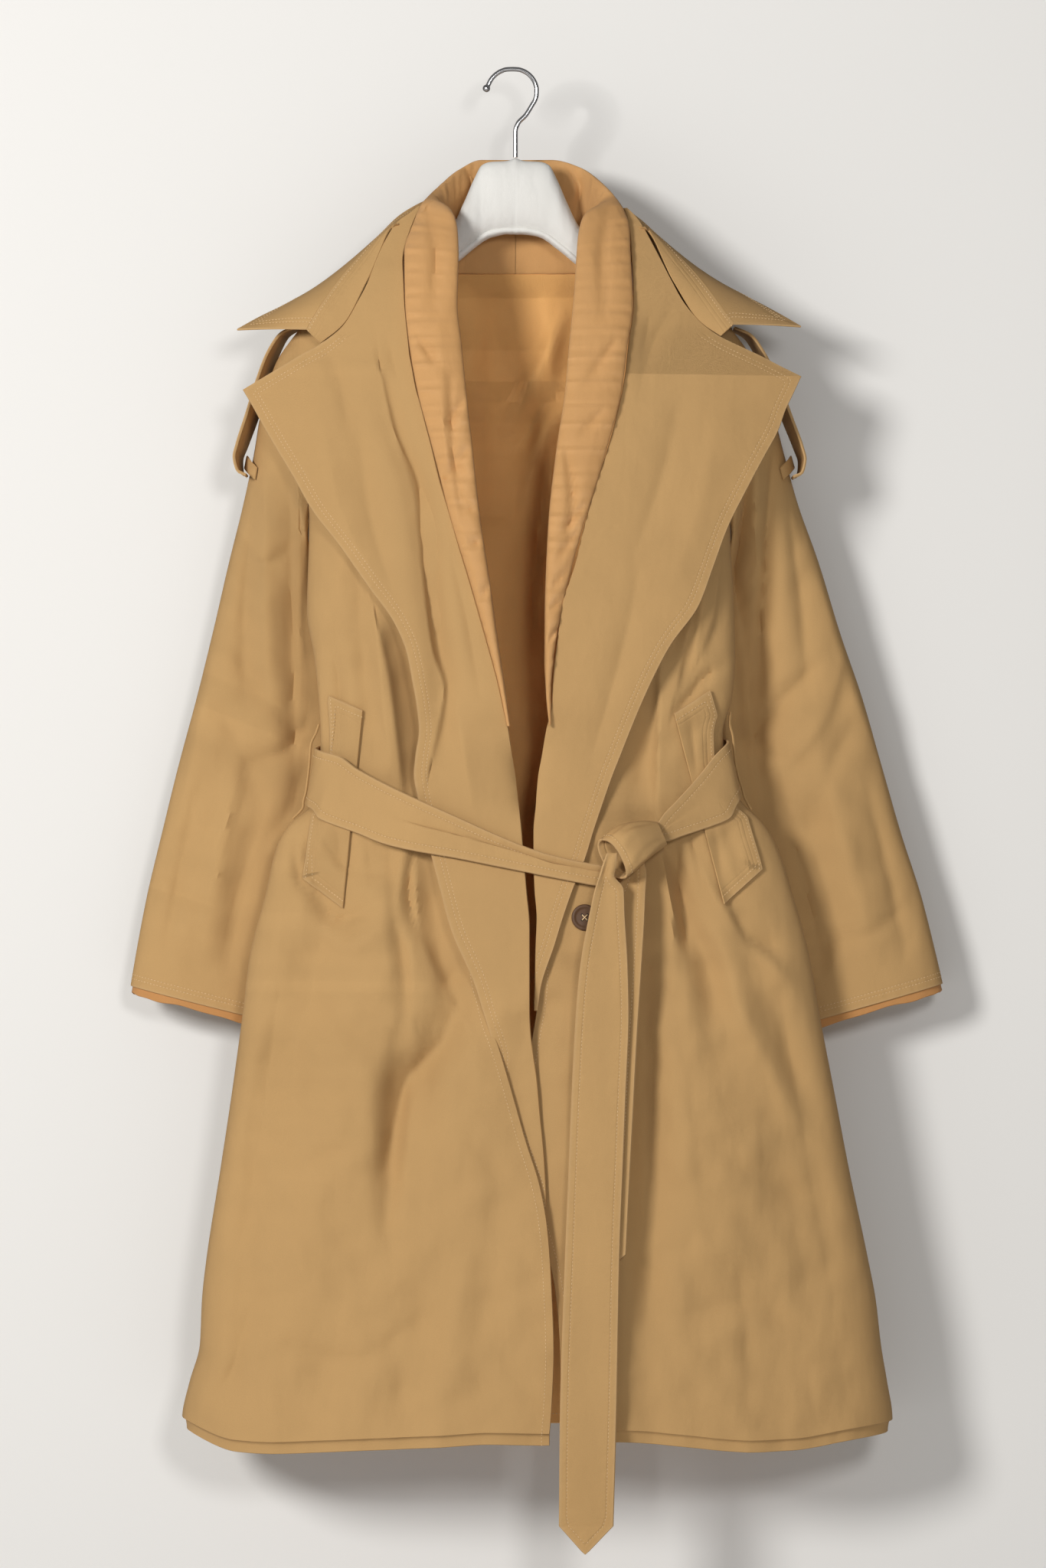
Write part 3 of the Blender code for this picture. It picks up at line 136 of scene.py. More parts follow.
ARMHOLE = columns("z front back round", [
    (-200, -34, 36, 1.3), (-330, -36, 40, 1.3), (-385, -32, 32, 1.35), (-415, -22, 10, 1.7),
    (-432, -12, -12, ROUND), (-500, -14, -14, ROUND)])
SHOULDER = curve([0, 40, 80, 120, 160, 195, 208, 240],
                 [-90, -108, -138, -168, -202, -234, -248, -285])
NECKLINE = curve([0, 45, 75, 96], [-184, -180, -166, -151])
FRONT_EDGE = columns("z right left", [
    (-150, -104, 115), (-226, -111, 118), (-307, -100, 108), (-361, -86, 96), (-434, -67, 75),
    (-493, -49, 60), (-545, -34, 48), (-586, -23, 42), (-631, -14, 37), (-675, -5, 27),
    (-700, -4, 24), (-735, -18, 21), (-768, -30, 20), (-800, -37, 22), (-830, -40, 24),
    (-868, -36, 24), (-892, -30, 22), (-912, -25, 19), (-930, -18, 16), (-966, -7, 10),
    (-1022, 9, 8), (-1067, 23, 14), (-1107, 30, 24), (-1164, 34, 38), (-1219, 36, 43),
    (-1268, 34, 44), (-1301, 31, 45)])
UNDERLAP = curve([-1330, -1220, -1150, -900, -860, -800], [4, 7, 12, 12, 6, 0])
UNDERLAP_REACH = 45.0
HEM = curve([-320, -267, -241, -153, -72, -22, 34, 96, 150, 228, 265, 320, 361],
            [-1291, -1309, -1310, -1306, -1302, -1299, -1300, -1297, -1301, -1308, -1307,
             -1299, -1294])
HEM_LEVEL = -1291.0
HEM_DIPS = curve([-1291, -1259, -1223, -1160], [1.0, 0.7, 0.3, 0.0])
HEM_TUCK = [(0.6, 1.6), (1.8, 3.0), (3.6, 3.7), (6.5, 4.2), (9.0, 4.5), (11.5, 4.6)]

# %% [markdown]
# ## Folds
# A fold is a trough or a ridge that follows a line down the cloth. Real folds are uneven:
# one flank is steeper, and they fade at both ends. Each row below is one fold, with its depth,
# its half width and the line it follows. Simulating the whole coat would give folds too, but
# not the ones this coat has, so they are listed one by one, with small random gathers between.

# %% Fold tables: depth, half width, then x and z of each point of its line
FOLDS = {
    "front": [
        (7, 13, -120, -740, -98, -900), (5, 22, -98, -860, -120, -1120),
        (4, 14, -150, -470, -138, -640), (5, 24, -165, -730, -215, -1000),
        (4, 26, -196, -800, -270, -1240), (5, 34, -60, -1080, -110, -1290),
        (4, 36, -140, -1060, -190, -1290), (2.5, 22, -10, -1000, -40, -1290),
        (5, 20, 150, -740, 205, -1010), (5, 20, 118, -780, 130, -1180),
        (4, 26, 215, -800, 300, -1280), (4, 36, 160, -1040, 190, -1290),
        (4, 30, 235, -1060, 250, -1290), (3, 16, 160, -470, 150, -590),
        (8, 19, -116, -526, -102, -566, -91, -604, -88, -645, -92, -700),
        (-3, 9, -134, -500, -126, -600, -118, -668),
        (4, 7, -186, -588, -186, -622, -180, -642), (3, 8, -172, -560, -168, -610, -176, -650),
        (6, 7, -96, -740, -102, -790, -88, -838), (3, 9, -47, -848, -60, -868, -74, -884),
        (8, 17, -80, -740, -76, -800, -70, -850, -62, -890, -76, -930, -106, -972, -118, -1050),
        (5, 13, -113, -925, -117, -990, -122, -1110), (3, 14, -84, -915, -84, -980, -94, -1120),
        (-4, 8, -108, -752, -112, -800, -98, -860, -98, -915),
        (-2.5, 7, -98, -950, -100, -1000, -106, -1060),
        (5, 9, -212, -728, -210, -764, -192, -792, -166, -814, -134, -803),
        (-3, 10, -188, -822, -160, -838, -128, -824), (2.5, 7, -186, -735, -160, -765, -128, -770),
        (4, 5, 206, -570, 180, -583, 166, -601, 150, -618),
        (4, 8, 166, -512, 158, -534, 140, -566), (-3, 9, 184, -480, 176, -530, 170, -566),
        (5, 6, 152, -756, 160, -812, 164, -846), (-4, 6, 140, -750, 148, -800, 152, -838),
        (6, 9, 206, -806, 222, -832, 250, -846),
        (-4.5, 12, 176, -752, 208, -815, 240, -853, 276, -884),
        (5, 14, 168, -812, 184, -860, 194, -905),
        (-3.5, 14, 182, -815, 204, -853, 212, -890, 240, -948, 272, -1009),
        (4, 16, 238, -880, 262, -940, 290, -1010), (4, 14, 150, -880, 168, -980, 180, -1100),
        (8, 21, 116, -768, 122, -880, 121, -1000, 124, -1150, 126, -1290),
        (-3, 16, 160, -900, 166, -1000, 176, -1120),
        (3, 14, -230, -900, -250, -1010, -262, -1130), (2.5, 15, 255, -930, 290, -1050, 310, -1170),
        (-3, 16, -40, -1130, -60, -1210, -66, -1288),
        (2.2, 12, 210, -1130, 220, -1220, 222, -1290),
        (3, 10, -252, -1180, -268, -1240, -292, -1275),
        (2.5, 10, -190, -900, -150, -925, -120, -930),
        (2.5, 12, -250, -1010, -200, -1040, -150, -1030),
        (2.5, 12, -90, -1190, -150, -1230, -230, -1220),
        (2.5, 12, 200, -1040, 260, -1075, 320, -1100),
        (2.5, 12, 140, -1200, 210, -1180, 290, -1215)],
    "back": [
        (4, 20, -120, -500, -110, -650), (4, 20, 120, -500, 110, -650),
        (8, 30, -110, -720, -150, -1290), (9, 34, 0, -720, 10, -1290),
        (8, 30, 115, -720, 160, -1290), (6, 26, -190, -760, -240, -1290),
        (6, 26, 195, -760, 260, -1290), (3, 12, -60, -430, -70, -540, -62, -640),
        (3, 12, 66, -430, 58, -540, 70, -640), (-3, 16, -155, -380, -140, -470, -150, -560),
        (-3, 16, 158, -380, 146, -470, 152, -560), (3.5, 11, -62, -705, -70, -800, -78, -930),
        (3.5, 11, 60, -705, 74, -800, 76, -960), (-2.5, 14, -40, -760, -48, -900, -52, -1080),
        (-2.5, 14, 44, -760, 50, -900, 58, -1100)],
}
CREASES = {"back": [], "front": [
    (10, 12, -130, -540, -120, -590, -114, -640, -108, -695),
    (5, 8, 196, -470, 190, -520, 176, -560),
    (4, 7, 168, -530, 160, -560, 152, -600), (4, 6, -186, -585, -188, -610, -183, -640),
    (13, 13, 135, -706, 137, -640, 138, -572), (5, 7, 138, -746, 149, -800, 153, -842),
    (9, 13, -96, -740, -95, -780, -92, -820, -82, -852, -64, -884),
    (7, 12, -58, -880, -74, -925, -104, -958, -120, -1010),
    (5, 8, 172, -752, 190, -790, 214, -826),
    (5, 8, -205, -726, -204, -760, -190, -788, -164, -808)]}


def near_line(across, down, line):
    """Distance of each place from a line, how far along it lies (0 to 1), and on which side."""
    best = np.full(np.shape(across), 1e9)
    along, flank = np.zeros_like(best), np.zeros_like(best)
    lengths = np.linalg.norm(np.diff(line, axis=0), axis=1)
    before = 0.0
    for a, b, length in zip(line[:-1], line[1:], lengths):
        way = (b - a) / length
        t = np.clip((across - a[0]) * way[0] + (down - a[1]) * way[1], 0, length)
        off_x, off_z = across - a[0] - t * way[0], down - a[1] - t * way[1]
        distance = np.hypot(off_x, off_z)
        closer = distance < best
        best = np.where(closer, distance, best)
        along = np.where(closer, (before + t) / lengths.sum(), along)
        flank = np.where(closer, way[0] * off_z - way[1] * off_x, flank)
        before += length
    return best, along, flank


def smooth_line(row):
    """The line of a fold, rounded at its corners."""
    line = np.array(row).reshape(-1, 2)
    if len(line) > 2:
        places = np.linspace(0, len(line) - 1, 4 * len(line))
        line = np.stack([curve(range(len(line)), line[:, i])(places) for i in (0, 1)], axis=1)
    return line


STRENGTH = 1.8                           # how deep the folds are, against their tables
CRISP, CRISP_BOTTOM, SOFT_BOTTOM = 13.0, 1.3, 1.8     # narrow folds have a crisp bottom
STEEP_FLANK, SOFT_FLANK = 0.85, 1.25     # each flank's width, in half widths of the table
WAVES, TURN, CROSS_TURN, WAVE_SUM = (120, 84, 61, 43, 31), 6.28, 4.1, 150
CRUMPLED, LAPEL_CRUMPLED, LINING_CRUMPLED = 1.8, 0.5, 1.6


def fading(along, start, power):
    """The share of its depth that a fold keeps along its line, less at both ends."""
    return np.sin(math.pi * np.clip(start + (1 - 2 * start) * along, 0, 1)) ** power


def folds_at(rows, across, down):
    """How far the folds press the cloth in, at each place. One flank is softer."""
    depth = np.zeros(np.shape(across))
    for deep, half_width, *line in rows:
        distance, along, flank = near_line(across, down, smooth_line(line))
        width = half_width * np.where(flank > 0, SOFT_FLANK, STEEP_FLANK)
        bottom = CRISP_BOTTOM if half_width < CRISP else SOFT_BOTTOM
        depth += STRENGTH * deep * fading(along, 0.06, 0.7) * np.exp(-(distance / width) ** bottom)
    return depth


def creases_at(rows, across, down):
    """Folds with one crisp edge: on the far side of the line the cloth drops, then rises slowly."""
    depth = np.zeros(np.shape(across))
    for deep, width, *line in rows:
        distance, along, flank = near_line(across, down, smooth_line(line))
        past = np.where(flank > 0, distance, 0.0) / width
        depth += deep * fading(along, 0.04, 0.6) * past * np.exp(1 - past)
    return depth


def crumple(seed, across, down, deep):
    """Low uneven waves all over a cloth that has been worn and hung up."""
    chance, height = np.random.default_rng(seed), 0.0
    for wave in WAVES:
        turn, first, second = chance.uniform(0, TURN, 3)
        a = (across * math.cos(turn) + down * math.sin(turn)) * TURN / wave
        b = (down * math.cos(turn) - across * math.sin(turn)) * CROSS_TURN / wave
        height = height + wave * np.sin(a + first + np.sin(b + second)) * np.sin(b + first)
    return deep * height / WAVE_SUM


def gathers(seed, first, stop, step, level, slope, length, deep, lean):
    """Small uneven folds that start along a line. level is the line's z at x = 0."""
    chance = np.random.default_rng(seed)
    rows = []
    for x in range(first, stop, step):
        z = level + slope * x
        size = chance.uniform(0.5, 1.0)
        end_x = x + lean * size * length + chance.uniform(-5, 5)
        rows.append((deep * size * chance.choice([-0.6, 1.0, 1.0]), chance.uniform(4, 7),
                     x, z, (x + end_x) / 2 + chance.uniform(-2, 2), z - 0.5 * size * length,
                     end_x, z - size * length))
    return rows


for face, *row in (("front", 3, -184, -112, 13, -746, -0.10, 58, 1.8, 0.1),
                   ("front", 4, 172, 214, 11, -690, 0.1, -52, 1.6, 0.1),
                   ("front", 5, 140, 214, 12, -763, 0.2, 62, 1.8, 0.25),
                   ("front", 6, -290, 350, 23, -1285, 0, -46, 0.5, 0.05),
                   ("back", 7, -176, 190, 16, -700, 0, 76, 2.4, 0),
                   ("back", 8, -170, 180, 17, -640, 0, -62, 2.0, 0),
                   ("back", 9, -290, 350, 26, -1285, 0, -44, 1.0, 0)):
    FOLDS[face] += gathers(*row)
print("folds:", {face: len(rows) for face, rows in FOLDS.items()})


# %% Places on the body
SEAM_CALM = 0.12                         # folds fade over this share of the width at a seam


def side_x(z, sign):
    """Where the side seam or the armhole stands."""
    share = ramp(z, UNDERARM_Z, TIP_Z)
    arm = UNDERARM_X[sign] + share * (sign * TIP_X - UNDERARM_X[sign])
    return np.where(z > UNDERARM_Z, arm, sign * OUTLINE["right" if sign < 0 else "left"](z))


def body_y(x, z, face, folded=True):
    """The middle of the body's cloth, front or back."""
    x, z = np.broadcast_arrays(np.asarray(x, float), np.asarray(z, float))
    edge = np.where(x < 0, side_x(z, -1.0), side_x(z, 1.0))
    inside = np.clip(1 - x / edge, 0, 1)
    fullness = ARMHOLE["round"](z)
    swell = (1 - (1 - inside) ** fullness) ** (1 / fullness)
    rim = np.where(z > UNDERARM_Z, ARMHOLE[face](z), DEPTH["seam"](z))
    y = rim + (DEPTH[face](z) - rim) * swell
    roll = np.clip((SHOULDER(np.abs(x)) - z) / SHOULDER_ROLL, 0, 1)
    y = y * np.sqrt(1 - (1 - roll) ** 2)
    if folded:
        inward = 1 if face == "front" else -1
        pressed = folds_at(FOLDS[face], x, z) + creases_at(CREASES[face], x, z) \
            + crumple(31 + inward, x, z, CRUMPLED)
        y = y + inward * np.clip(inside / SEAM_CALM, 0, 1) * pressed
    return y


def front_y(x, z, side, folded=True):
    """The middle of a front's cloth. The left front passes under the right one."""
    y = body_y(x, z, "front", folded)
    if side == "left":
        away = np.clip(x - FRONT_EDGE["left"](z), 0, None) / UNDERLAP_REACH
        y = y + UNDERLAP(z) * np.exp(-away ** 2)
    return y


# %% [markdown]
# ## From a grid of points to a piece of cloth
# A cut piece has a right side, a wrong side and a thin edge. The Solidify modifier could add
# the thickness, but it knows nothing of seams. Here a grid of points is moved out and in by
# half the cloth's thickness and closed with a rounded edge. Two UV maps go along: "cloth"
# follows the threads in metres, and "sewing" says how far each place lies from a stitched
# edge and how far along it. Materials can then draw weave and seams that follow the cloth.

# %% Cloth from a grid
FAR = 900.0                              # what lies on no sewn side
EDGE_STEPS, EDGE_BULGE = 90, 0.35        # the bulge of a cut edge, in thicknesses of the cloth
STITCH_LINES, FLAT = {}, {}


def add_object(name, data):
    thing = bpy.data.objects.new(name, data)
    bpy.context.collection.objects.link(thing)
    return thing


def grid_normals(grid, wrap=False):
    if wrap:
        across = np.roll(grid, -1, axis=1) - np.roll(grid, 1, axis=1)
    else:
        across = np.gradient(grid, axis=1)
    return unit(np.cross(across, np.gradient(grid, axis=0)))


def edge_line(grid, side, wrap):
    line = {"top": grid[0], "low": grid[-1], "first": grid[:, 0], "last": grid[:, -1]}[side]
    return np.concatenate([line, line[:1]]) if wrap else line


def from_edges(grid, sides, wrap):
    """Distance of each grid point from the nearest named side, and how far along it."""
    inset, run = np.full(grid.shape[:2], FAR), np.zeros(grid.shape[:2])
    for side in sides:
        line = edge_line(grid, side, wrap)
        line = np.concatenate([line[:-1:max(1, len(line) // EDGE_STEPS)], line[-1:]])
        before = 0.0
        for a, b in zip(line[:-1], line[1:]):
            length = np.linalg.norm(b - a)
            if length < 1e-6:
                continue
            t = np.clip((grid - a) @ (b - a) / length, 0, length)
            distance = np.linalg.norm(grid - a - t[..., None] * (b - a) / length, axis=-1)
            closer = distance < inset
            inset, run = np.where(closer, distance, inset), np.where(closer, before + t, run)
            before += length
    return np.stack([inset, run], axis=-1)


def trace(points, inset, distance, side, wrap):
    """The line at one distance inside a side of the grid."""
    if side in ("top", "low"):
        points, inset = points.transpose(1, 0, 2), inset.T
    if side in ("last", "low"):
        points, inset = points[:, ::-1], inset[:, ::-1]
    line = []
    for row, depth in zip(points, inset):
        i = int(np.argmax(depth > distance))
        if i:
            share = (distance - depth[i - 1]) / (depth[i] - depth[i - 1])
            line.append(row[i - 1] + share * (row[i] - row[i - 1]))
    return np.array(line + line[:1] if wrap else line)


def mesh_object(name, points, faces, materials, maps, slots=None, sharp=50):
    """A mesh from points in millimetres, with a UV map for each entry of maps."""
    mesh = bpy.data.meshes.new(name)
    mesh.from_pydata((np.asarray(points) * MM).tolist(), [], faces)
    for label, values in maps.items():
        mesh.uv_layers.new(name=label).data.foreach_set("uv", np.ravel(values).astype(np.float32))
    for material in materials:
        mesh.materials.append(bpy.data.materials[material])
    if slots is not None:
        mesh.polygons.foreach_set("material_index", np.asarray(slots, np.int32))
    mesh.polygons.foreach_set("use_smooth", np.ones(len(mesh.polygons), bool))
    mesh.set_sharp_from_angle(angle=math.radians(sharp))
    mesh.update()
    return add_object("fine_" + name, mesh)


def quads(values, wrap=False):
    """The four corner values of every cell of a grid."""
    if wrap:
        values = np.concatenate([values, values[:, :1]], axis=1)
    return np.stack([values[:-1, :-1], values[:-1, 1:], values[1:, 1:], values[1:, :-1]], axis=2)


def arc_lengths(grid, wrap):
    """How far across and down the cloth each grid point lies, with a closing column if wrapped."""
    closed = np.concatenate([grid, grid[:, :1]], axis=1) if wrap else grid
    steps_across = np.linalg.norm(np.diff(closed, axis=1), axis=2)
    steps_down = np.linalg.norm(np.diff(grid, axis=0), axis=2)
    u = np.pad(np.cumsum(steps_across, axis=1), ((0, 0), (1, 0)))
    v = np.pad(np.cumsum(steps_down.mean(axis=1)), (1, 0))
    return np.stack([u, np.broadcast_to(v[:, None], u.shape)], axis=-1), steps_down


def shell(name, grid, thickness, outside, inside, outward, wrap=False, stitched=None, sewn=(),
          square=(), sewn_below=None):
    """A piece of cloth through a grid. Its right side faces the way that outward gives."""
    grid, stitched = np.asarray(grid, float), dict(stitched or {})
    normals = grid_normals(grid, wrap)
    for places, axis in square:
        normals[places + (axis,)] = 0.0
    normals = unit(normals)
    if (normals * outward).sum() < 0:
        swap = {"first": "last", "last": "first"}
        grid, normals = grid[:, ::-1], -normals[:, ::-1]
        stitched = {swap.get(side, side): at for side, at in stitched.items()}
        sewn = [swap.get(side, side) for side in sewn]
    rows, width = grid.shape[:2]
    front, back = [grid + normals * (way * thickness / 2) for way in (1, -1)]
    sewing = from_edges(grid, list(sewn) + list(stitched), wrap)
    if sewn_below is not None:
        sewing[grid[..., 2] > sewn_below] = (FAR, 0.0)
    facing = np.concatenate([front, normals], axis=2)
    for side, distances in stitched.items():
        for distance in distances:
            line = trace(facing, sewing[..., 0], distance, side, wrap)
            if sewn_below is not None:
                line = line[line[:, 2] < sewn_below - 3]
            if len(line) > 1:
                STITCH_LINES.setdefault(name, []).append(line)
    cloth, steps_down = arc_lengths(grid, wrap)
    columns_used = np.arange(width + 1) % width if wrap else np.arange(width)
    last = len(columns_used) - 1
    index = np.arange(rows * width).reshape(rows, width)[:, columns_used]
    values = {"cloth": cloth * MM, "sewing": sewing[:, columns_used] * MM}
    count = rows * width
    right_side = quads(index).reshape(-1, 4)
    faces = [right_side, right_side[:, ::-1] + count]
    maps = {label: [quads(value).reshape(-1, 4, 2)] * 2 for label, value in values.items()}
    maps = {label: [parts[0], parts[1][:, ::-1]] for label, parts in maps.items()}
    if wrap:
        rims = [[(0, c) for c in range(last + 1)], [(rows - 1, c) for c in range(last, -1, -1)]]
    else:
        rims = [[(0, c) for c in range(last)] + [(r, last) for r in range(rows - 1)]
                + [(rows - 1, c) for c in range(last, 0, -1)]
                + [(r, 0) for r in range(rows - 1, -1, -1)]]
    points = [front.reshape(-1, 3), back.reshape(-1, 3)]
    made = 2 * count
    for rim in rims:
        r, c = np.array(rim).T
        inner_c = columns_used[c] if wrap else np.clip(c, 1, last - 1)
        out = unit(grid[r, columns_used[c]] - grid[np.clip(r, 1, rows - 2), inner_c])
        middle = (front + back)[r, columns_used[c]] / 2 + out * EDGE_BULGE * thickness
        points.append(middle[:-1])
        border, mid = index[r, c], made + np.arange(len(rim)) % (len(rim) - 1)
        made += len(rim) - 1
        p, q, m, n = border[:-1], border[1:], mid[:-1], mid[1:]
        faces += [np.stack([q, p, m, n], 1), np.stack([n, m, p + count, q + count], 1)]
        for label, value in values.items():
            a, b = value[r, c][:-1], value[r, c][1:]
            maps[label] += [np.stack([b, a, a, b], 1)] * 2
    slots = np.zeros(sum(len(part) for part in faces), int)
    slots[len(right_side):2 * len(right_side)] = 1 if inside else 0
    piece = mesh_object(name, np.concatenate(points), np.concatenate(faces).tolist(),
                        [outside] + ([inside] if inside else []),
                        {label: np.concatenate(parts) for label, parts in maps.items()}, slots)
    corners = quads(grid, wrap)
    area = np.linalg.norm(np.cross(corners[:, :, 2] - corners[:, :, 0],
                                   corners[:, :, 3] - corners[:, :, 1]), axis=2).sum() / 2
    flat = (cloth[..., 0].max() * MM, steps_down.sum(axis=0).max() * MM, area * MM * MM)
    FLAT[piece.name] = flat
    print(f"{name}: {4 * len(right_side)} triangles, cut {flat[0]:.3f} x {flat[1]:.3f} m")
    return piece


def solid_loft(name, rings, material, sharp=50):
    """A full closed shape through rings, with a fan over each end."""
    rings = np.asarray(rings, float)
    count, width = rings.shape[:2]
    cloth, _ = arc_lengths(rings, True)
    index = np.arange(count * width).reshape(count, width)
    faces = quads(index, True).reshape(-1, 4)
    uv = quads(cloth).reshape(-1, 2)
    hubs = [count * width, count * width + 1]
    fans = np.concatenate([
        np.stack([np.roll(index[0], -1), index[0], np.full(width, hubs[0])], 1),
        np.stack([index[-1], np.roll(index[-1], -1), np.full(width, hubs[1])], 1)])
    points = np.concatenate([rings.reshape(-1, 3), rings[[0, -1]].mean(axis=1)])
    a, b, c = points[faces[:, 0]], points[faces[:, 1]], points[faces[:, 2]]
    middle = rings.mean(axis=1)[np.repeat(np.arange(count - 1), width)]
    flip = (np.cross(b - a, c - a) * (a - middle)).sum() < 0
    if flip:
        faces, fans = faces[:, ::-1], fans[:, ::-1]
        uv = uv.reshape(-1, 4, 2)[:, ::-1].reshape(-1, 2)
    ends = np.tile(cloth[0, 0], (len(fans) * 3, 1))
    return mesh_object(name, points, faces.tolist() + fans.tolist(), [material],
                       {"cloth": np.concatenate([uv, ends]) * MM}, sharp=sharp)


def ring_round(angles, fullness):
    """Across and through shares of a superellipse, for an array of angles."""
    c, s = np.cos(angles), np.sin(angles)
    return (np.sign(c) * np.abs(c) ** (2 / fullness), np.sign(s) * np.abs(s) ** (2 / fullness))


NARROWEST = 0.0101                       # no cut is stated narrower than this, in metres


def dress(piece, nodes, held=None):
    """Hang a piece on the root and hide the solids that it stands for. held, the kind of cloth, is
    not used.
    """
    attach(piece, "root")
    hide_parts(*nodes)
    if held:
        width, length, area = FLAT[piece.name]
        width = max(width, NARROWEST)


# %% [markdown]
# ## Cloth, thread, horn and steel
# Gabardine is a tight twill: fine diagonal ribs, matt, a shade lighter where it is rubbed.
# An image of cloth could be wrapped on, but it would repeat and blur. These materials are made
# of small node groups instead, so one weave serves every piece and each keeps its own shader.
# The groups hand out a colour and a height in millimetres, and the material turns height
# into a bump. They read the two UV maps of the cloth, so ribs and puckers follow its threads.

# %% Helpers for shader nodes
def group(name, inputs, outputs):
    """A new shader group: its tree, its input sockets by name, and its output node."""
    tree = bpy.data.node_groups.new(name, "ShaderNodeTree")
    for label, value in inputs.items():
        kind = "NodeSocketColor" if isinstance(value, tuple) else "NodeSocketFloat"
        tree.interface.new_socket(label, in_out="INPUT", socket_type=kind).default_value = value
    for label in outputs:
        kind = "NodeSocketColor" if label == "Colour" else "NodeSocketFloat"
        tree.interface.new_socket(label, in_out="OUTPUT", socket_type=kind)
    return tree, tree.nodes.new("NodeGroupInput").outputs, tree.nodes.new("NodeGroupOutput").inputs


def feed(tree, value, socket):
    """Join an output to a socket, or set the socket to a number."""
    if isinstance(value, bpy.types.NodeSocket):
        tree.links.new(value, socket)
    else:
        socket.default_value = value


def put(tree, kind, settings=None, **inputs):
    """A new node with its inputs set to numbers or joined to sockets."""
    node = tree.nodes.new(kind)
    for label, value in (settings or {}).items():
        setattr(node, label, value)
    for label, value in inputs.items():
        feed(tree, value, node.inputs[label.replace("_", " ")])
    return node


def calc(tree, operation, *values):
    node = put(tree, "ShaderNodeMath", {"operation": operation})
    for value, socket in zip(values, node.inputs):
        feed(tree, value, socket)
    return node.outputs[0]


def principled(name, **inputs):
    """A new material, its tree and its shader with some inputs set."""
    material = bpy.data.materials.new(name)
    material.use_nodes = True
    shader = material.node_tree.nodes["Principled BSDF"]
    for label, value in inputs.items():
        shader.inputs[label.replace("_", " ")].default_value = value
    return material, material.node_tree, shader


def noise(tree, vector, scale, detail=2.0):
    """Noise from -1 to 1."""
    node = put(tree, "ShaderNodeTexNoise", Vector=vector, Scale=scale, Detail=detail)
    return calc(tree, "MULTIPLY_ADD", node.outputs[0], 4.0, -2.0)


def hump(tree, value, centre, width):
    """1 where value is at centre, falling away smoothly over width."""
    off = calc(tree, "DIVIDE", calc(tree, "SUBTRACT", value, centre), width)
    return calc(tree, "EXPONENT", calc(tree, "MULTIPLY", calc(tree, "MULTIPLY", off, off), -1.0))


# %% The weave and the soft creases of a cloth
WEAVE, given, made = group(
    "Woven cloth", {"Base": (0.5, 0.3, 0.15, 1.0), "Rib": 0.45, "Rib depth": 0.03,
                    "Crease": 1.0, "Small crease": 0.15, "Mottle": 0.05}, ["Colour", "Height"])
threads = put(WEAVE, "ShaderNodeUVMap", {"uv_map": "cloth"}).outputs[0]
u, v, _ = put(WEAVE, "ShaderNodeSeparateXYZ", Vector=threads).outputs
diagonal = calc(WEAVE, "ADD", calc(WEAVE, "MULTIPLY", u, 0.9), v)
turns = calc(WEAVE, "DIVIDE", calc(WEAVE, "MULTIPLY", diagonal, 2000 * math.pi), given["Rib"])
rib = calc(WEAVE, "MULTIPLY", calc(WEAVE, "SINE", turns), given["Rib depth"])
here = put(WEAVE, "ShaderNodeTexCoord").outputs["Object"]
hung = put(WEAVE, "ShaderNodeVectorMath", {"operation": "MULTIPLY"})
WEAVE.links.new(here, hung.inputs[0])
hung.inputs[1].default_value = (1.0, 1.0, 0.45)
crease = calc(WEAVE, "MULTIPLY", noise(WEAVE, hung.outputs[0], 20.0, 3.0), given["Crease"])
small = calc(WEAVE, "MULTIPLY", noise(WEAVE, hung.outputs[0], 85.0, 3.0), given["Small crease"])
made_height = calc(WEAVE, "ADD", calc(WEAVE, "ADD", crease, small), rib)
WEAVE.links.new(made_height, made["Height"])
shade = calc(WEAVE, "ADD", noise(WEAVE, here, 14.0, 4.0), noise(WEAVE, threads, 900.0, 1.0))
shade = calc(WEAVE, "MULTIPLY_ADD", calc(WEAVE, "MULTIPLY", shade, given["Mottle"]), 0.5, 1.0)
tinted = put(WEAVE, "ShaderNodeVectorMath", {"operation": "SCALE"}, Scale=shade)
WEAVE.links.new(given["Base"], tinted.inputs[0])
WEAVE.links.new(tinted.outputs[0], made["Colour"])

# %% The rows of stitches that pull a cloth in, and its rubbed edge
SEAMS, given, made = group("Sewn edge", {"First row": 7.0, "Second row": 11.0, "Groove": 0.22,
                                         "Pucker": 0.5}, ["Height", "Rubbed"])
sewing = put(SEAMS, "ShaderNodeUVMap", {"uv_map": "sewing"}).outputs[0]
u, v, _ = put(SEAMS, "ShaderNodeSeparateXYZ", Vector=sewing).outputs
inset = calc(SEAMS, "DIVIDE", u, MM)
groove = calc(SEAMS, "ADD", hump(SEAMS, inset, given["First row"], 0.8),
              hump(SEAMS, inset, given["Second row"], 0.8))
groove = calc(SEAMS, "MULTIPLY", groove, calc(SEAMS, "MULTIPLY", given["Groove"], -1.0))
squeezed = put(SEAMS, "ShaderNodeCombineXYZ", X=calc(SEAMS, "MULTIPLY", u, 0.3), Y=v, Z=0.0)
pucker = calc(SEAMS, "MULTIPLY", noise(SEAMS, squeezed.outputs[0], 110.0, 2.0),
              hump(SEAMS, inset, given["First row"], 8.0))
SEAMS.links.new(calc(SEAMS, "MULTIPLY_ADD", pucker, given["Pucker"], groove), made["Height"])
SEAMS.links.new(hump(SEAMS, inset, 0.0, 1.6), made["Rubbed"])


# %% A material for every cloth
RIB_DEPTH, RUBBED, RUBBED_COLOUR = 0.04, 0.05, (1.0, 0.86, 0.62, 1.0)


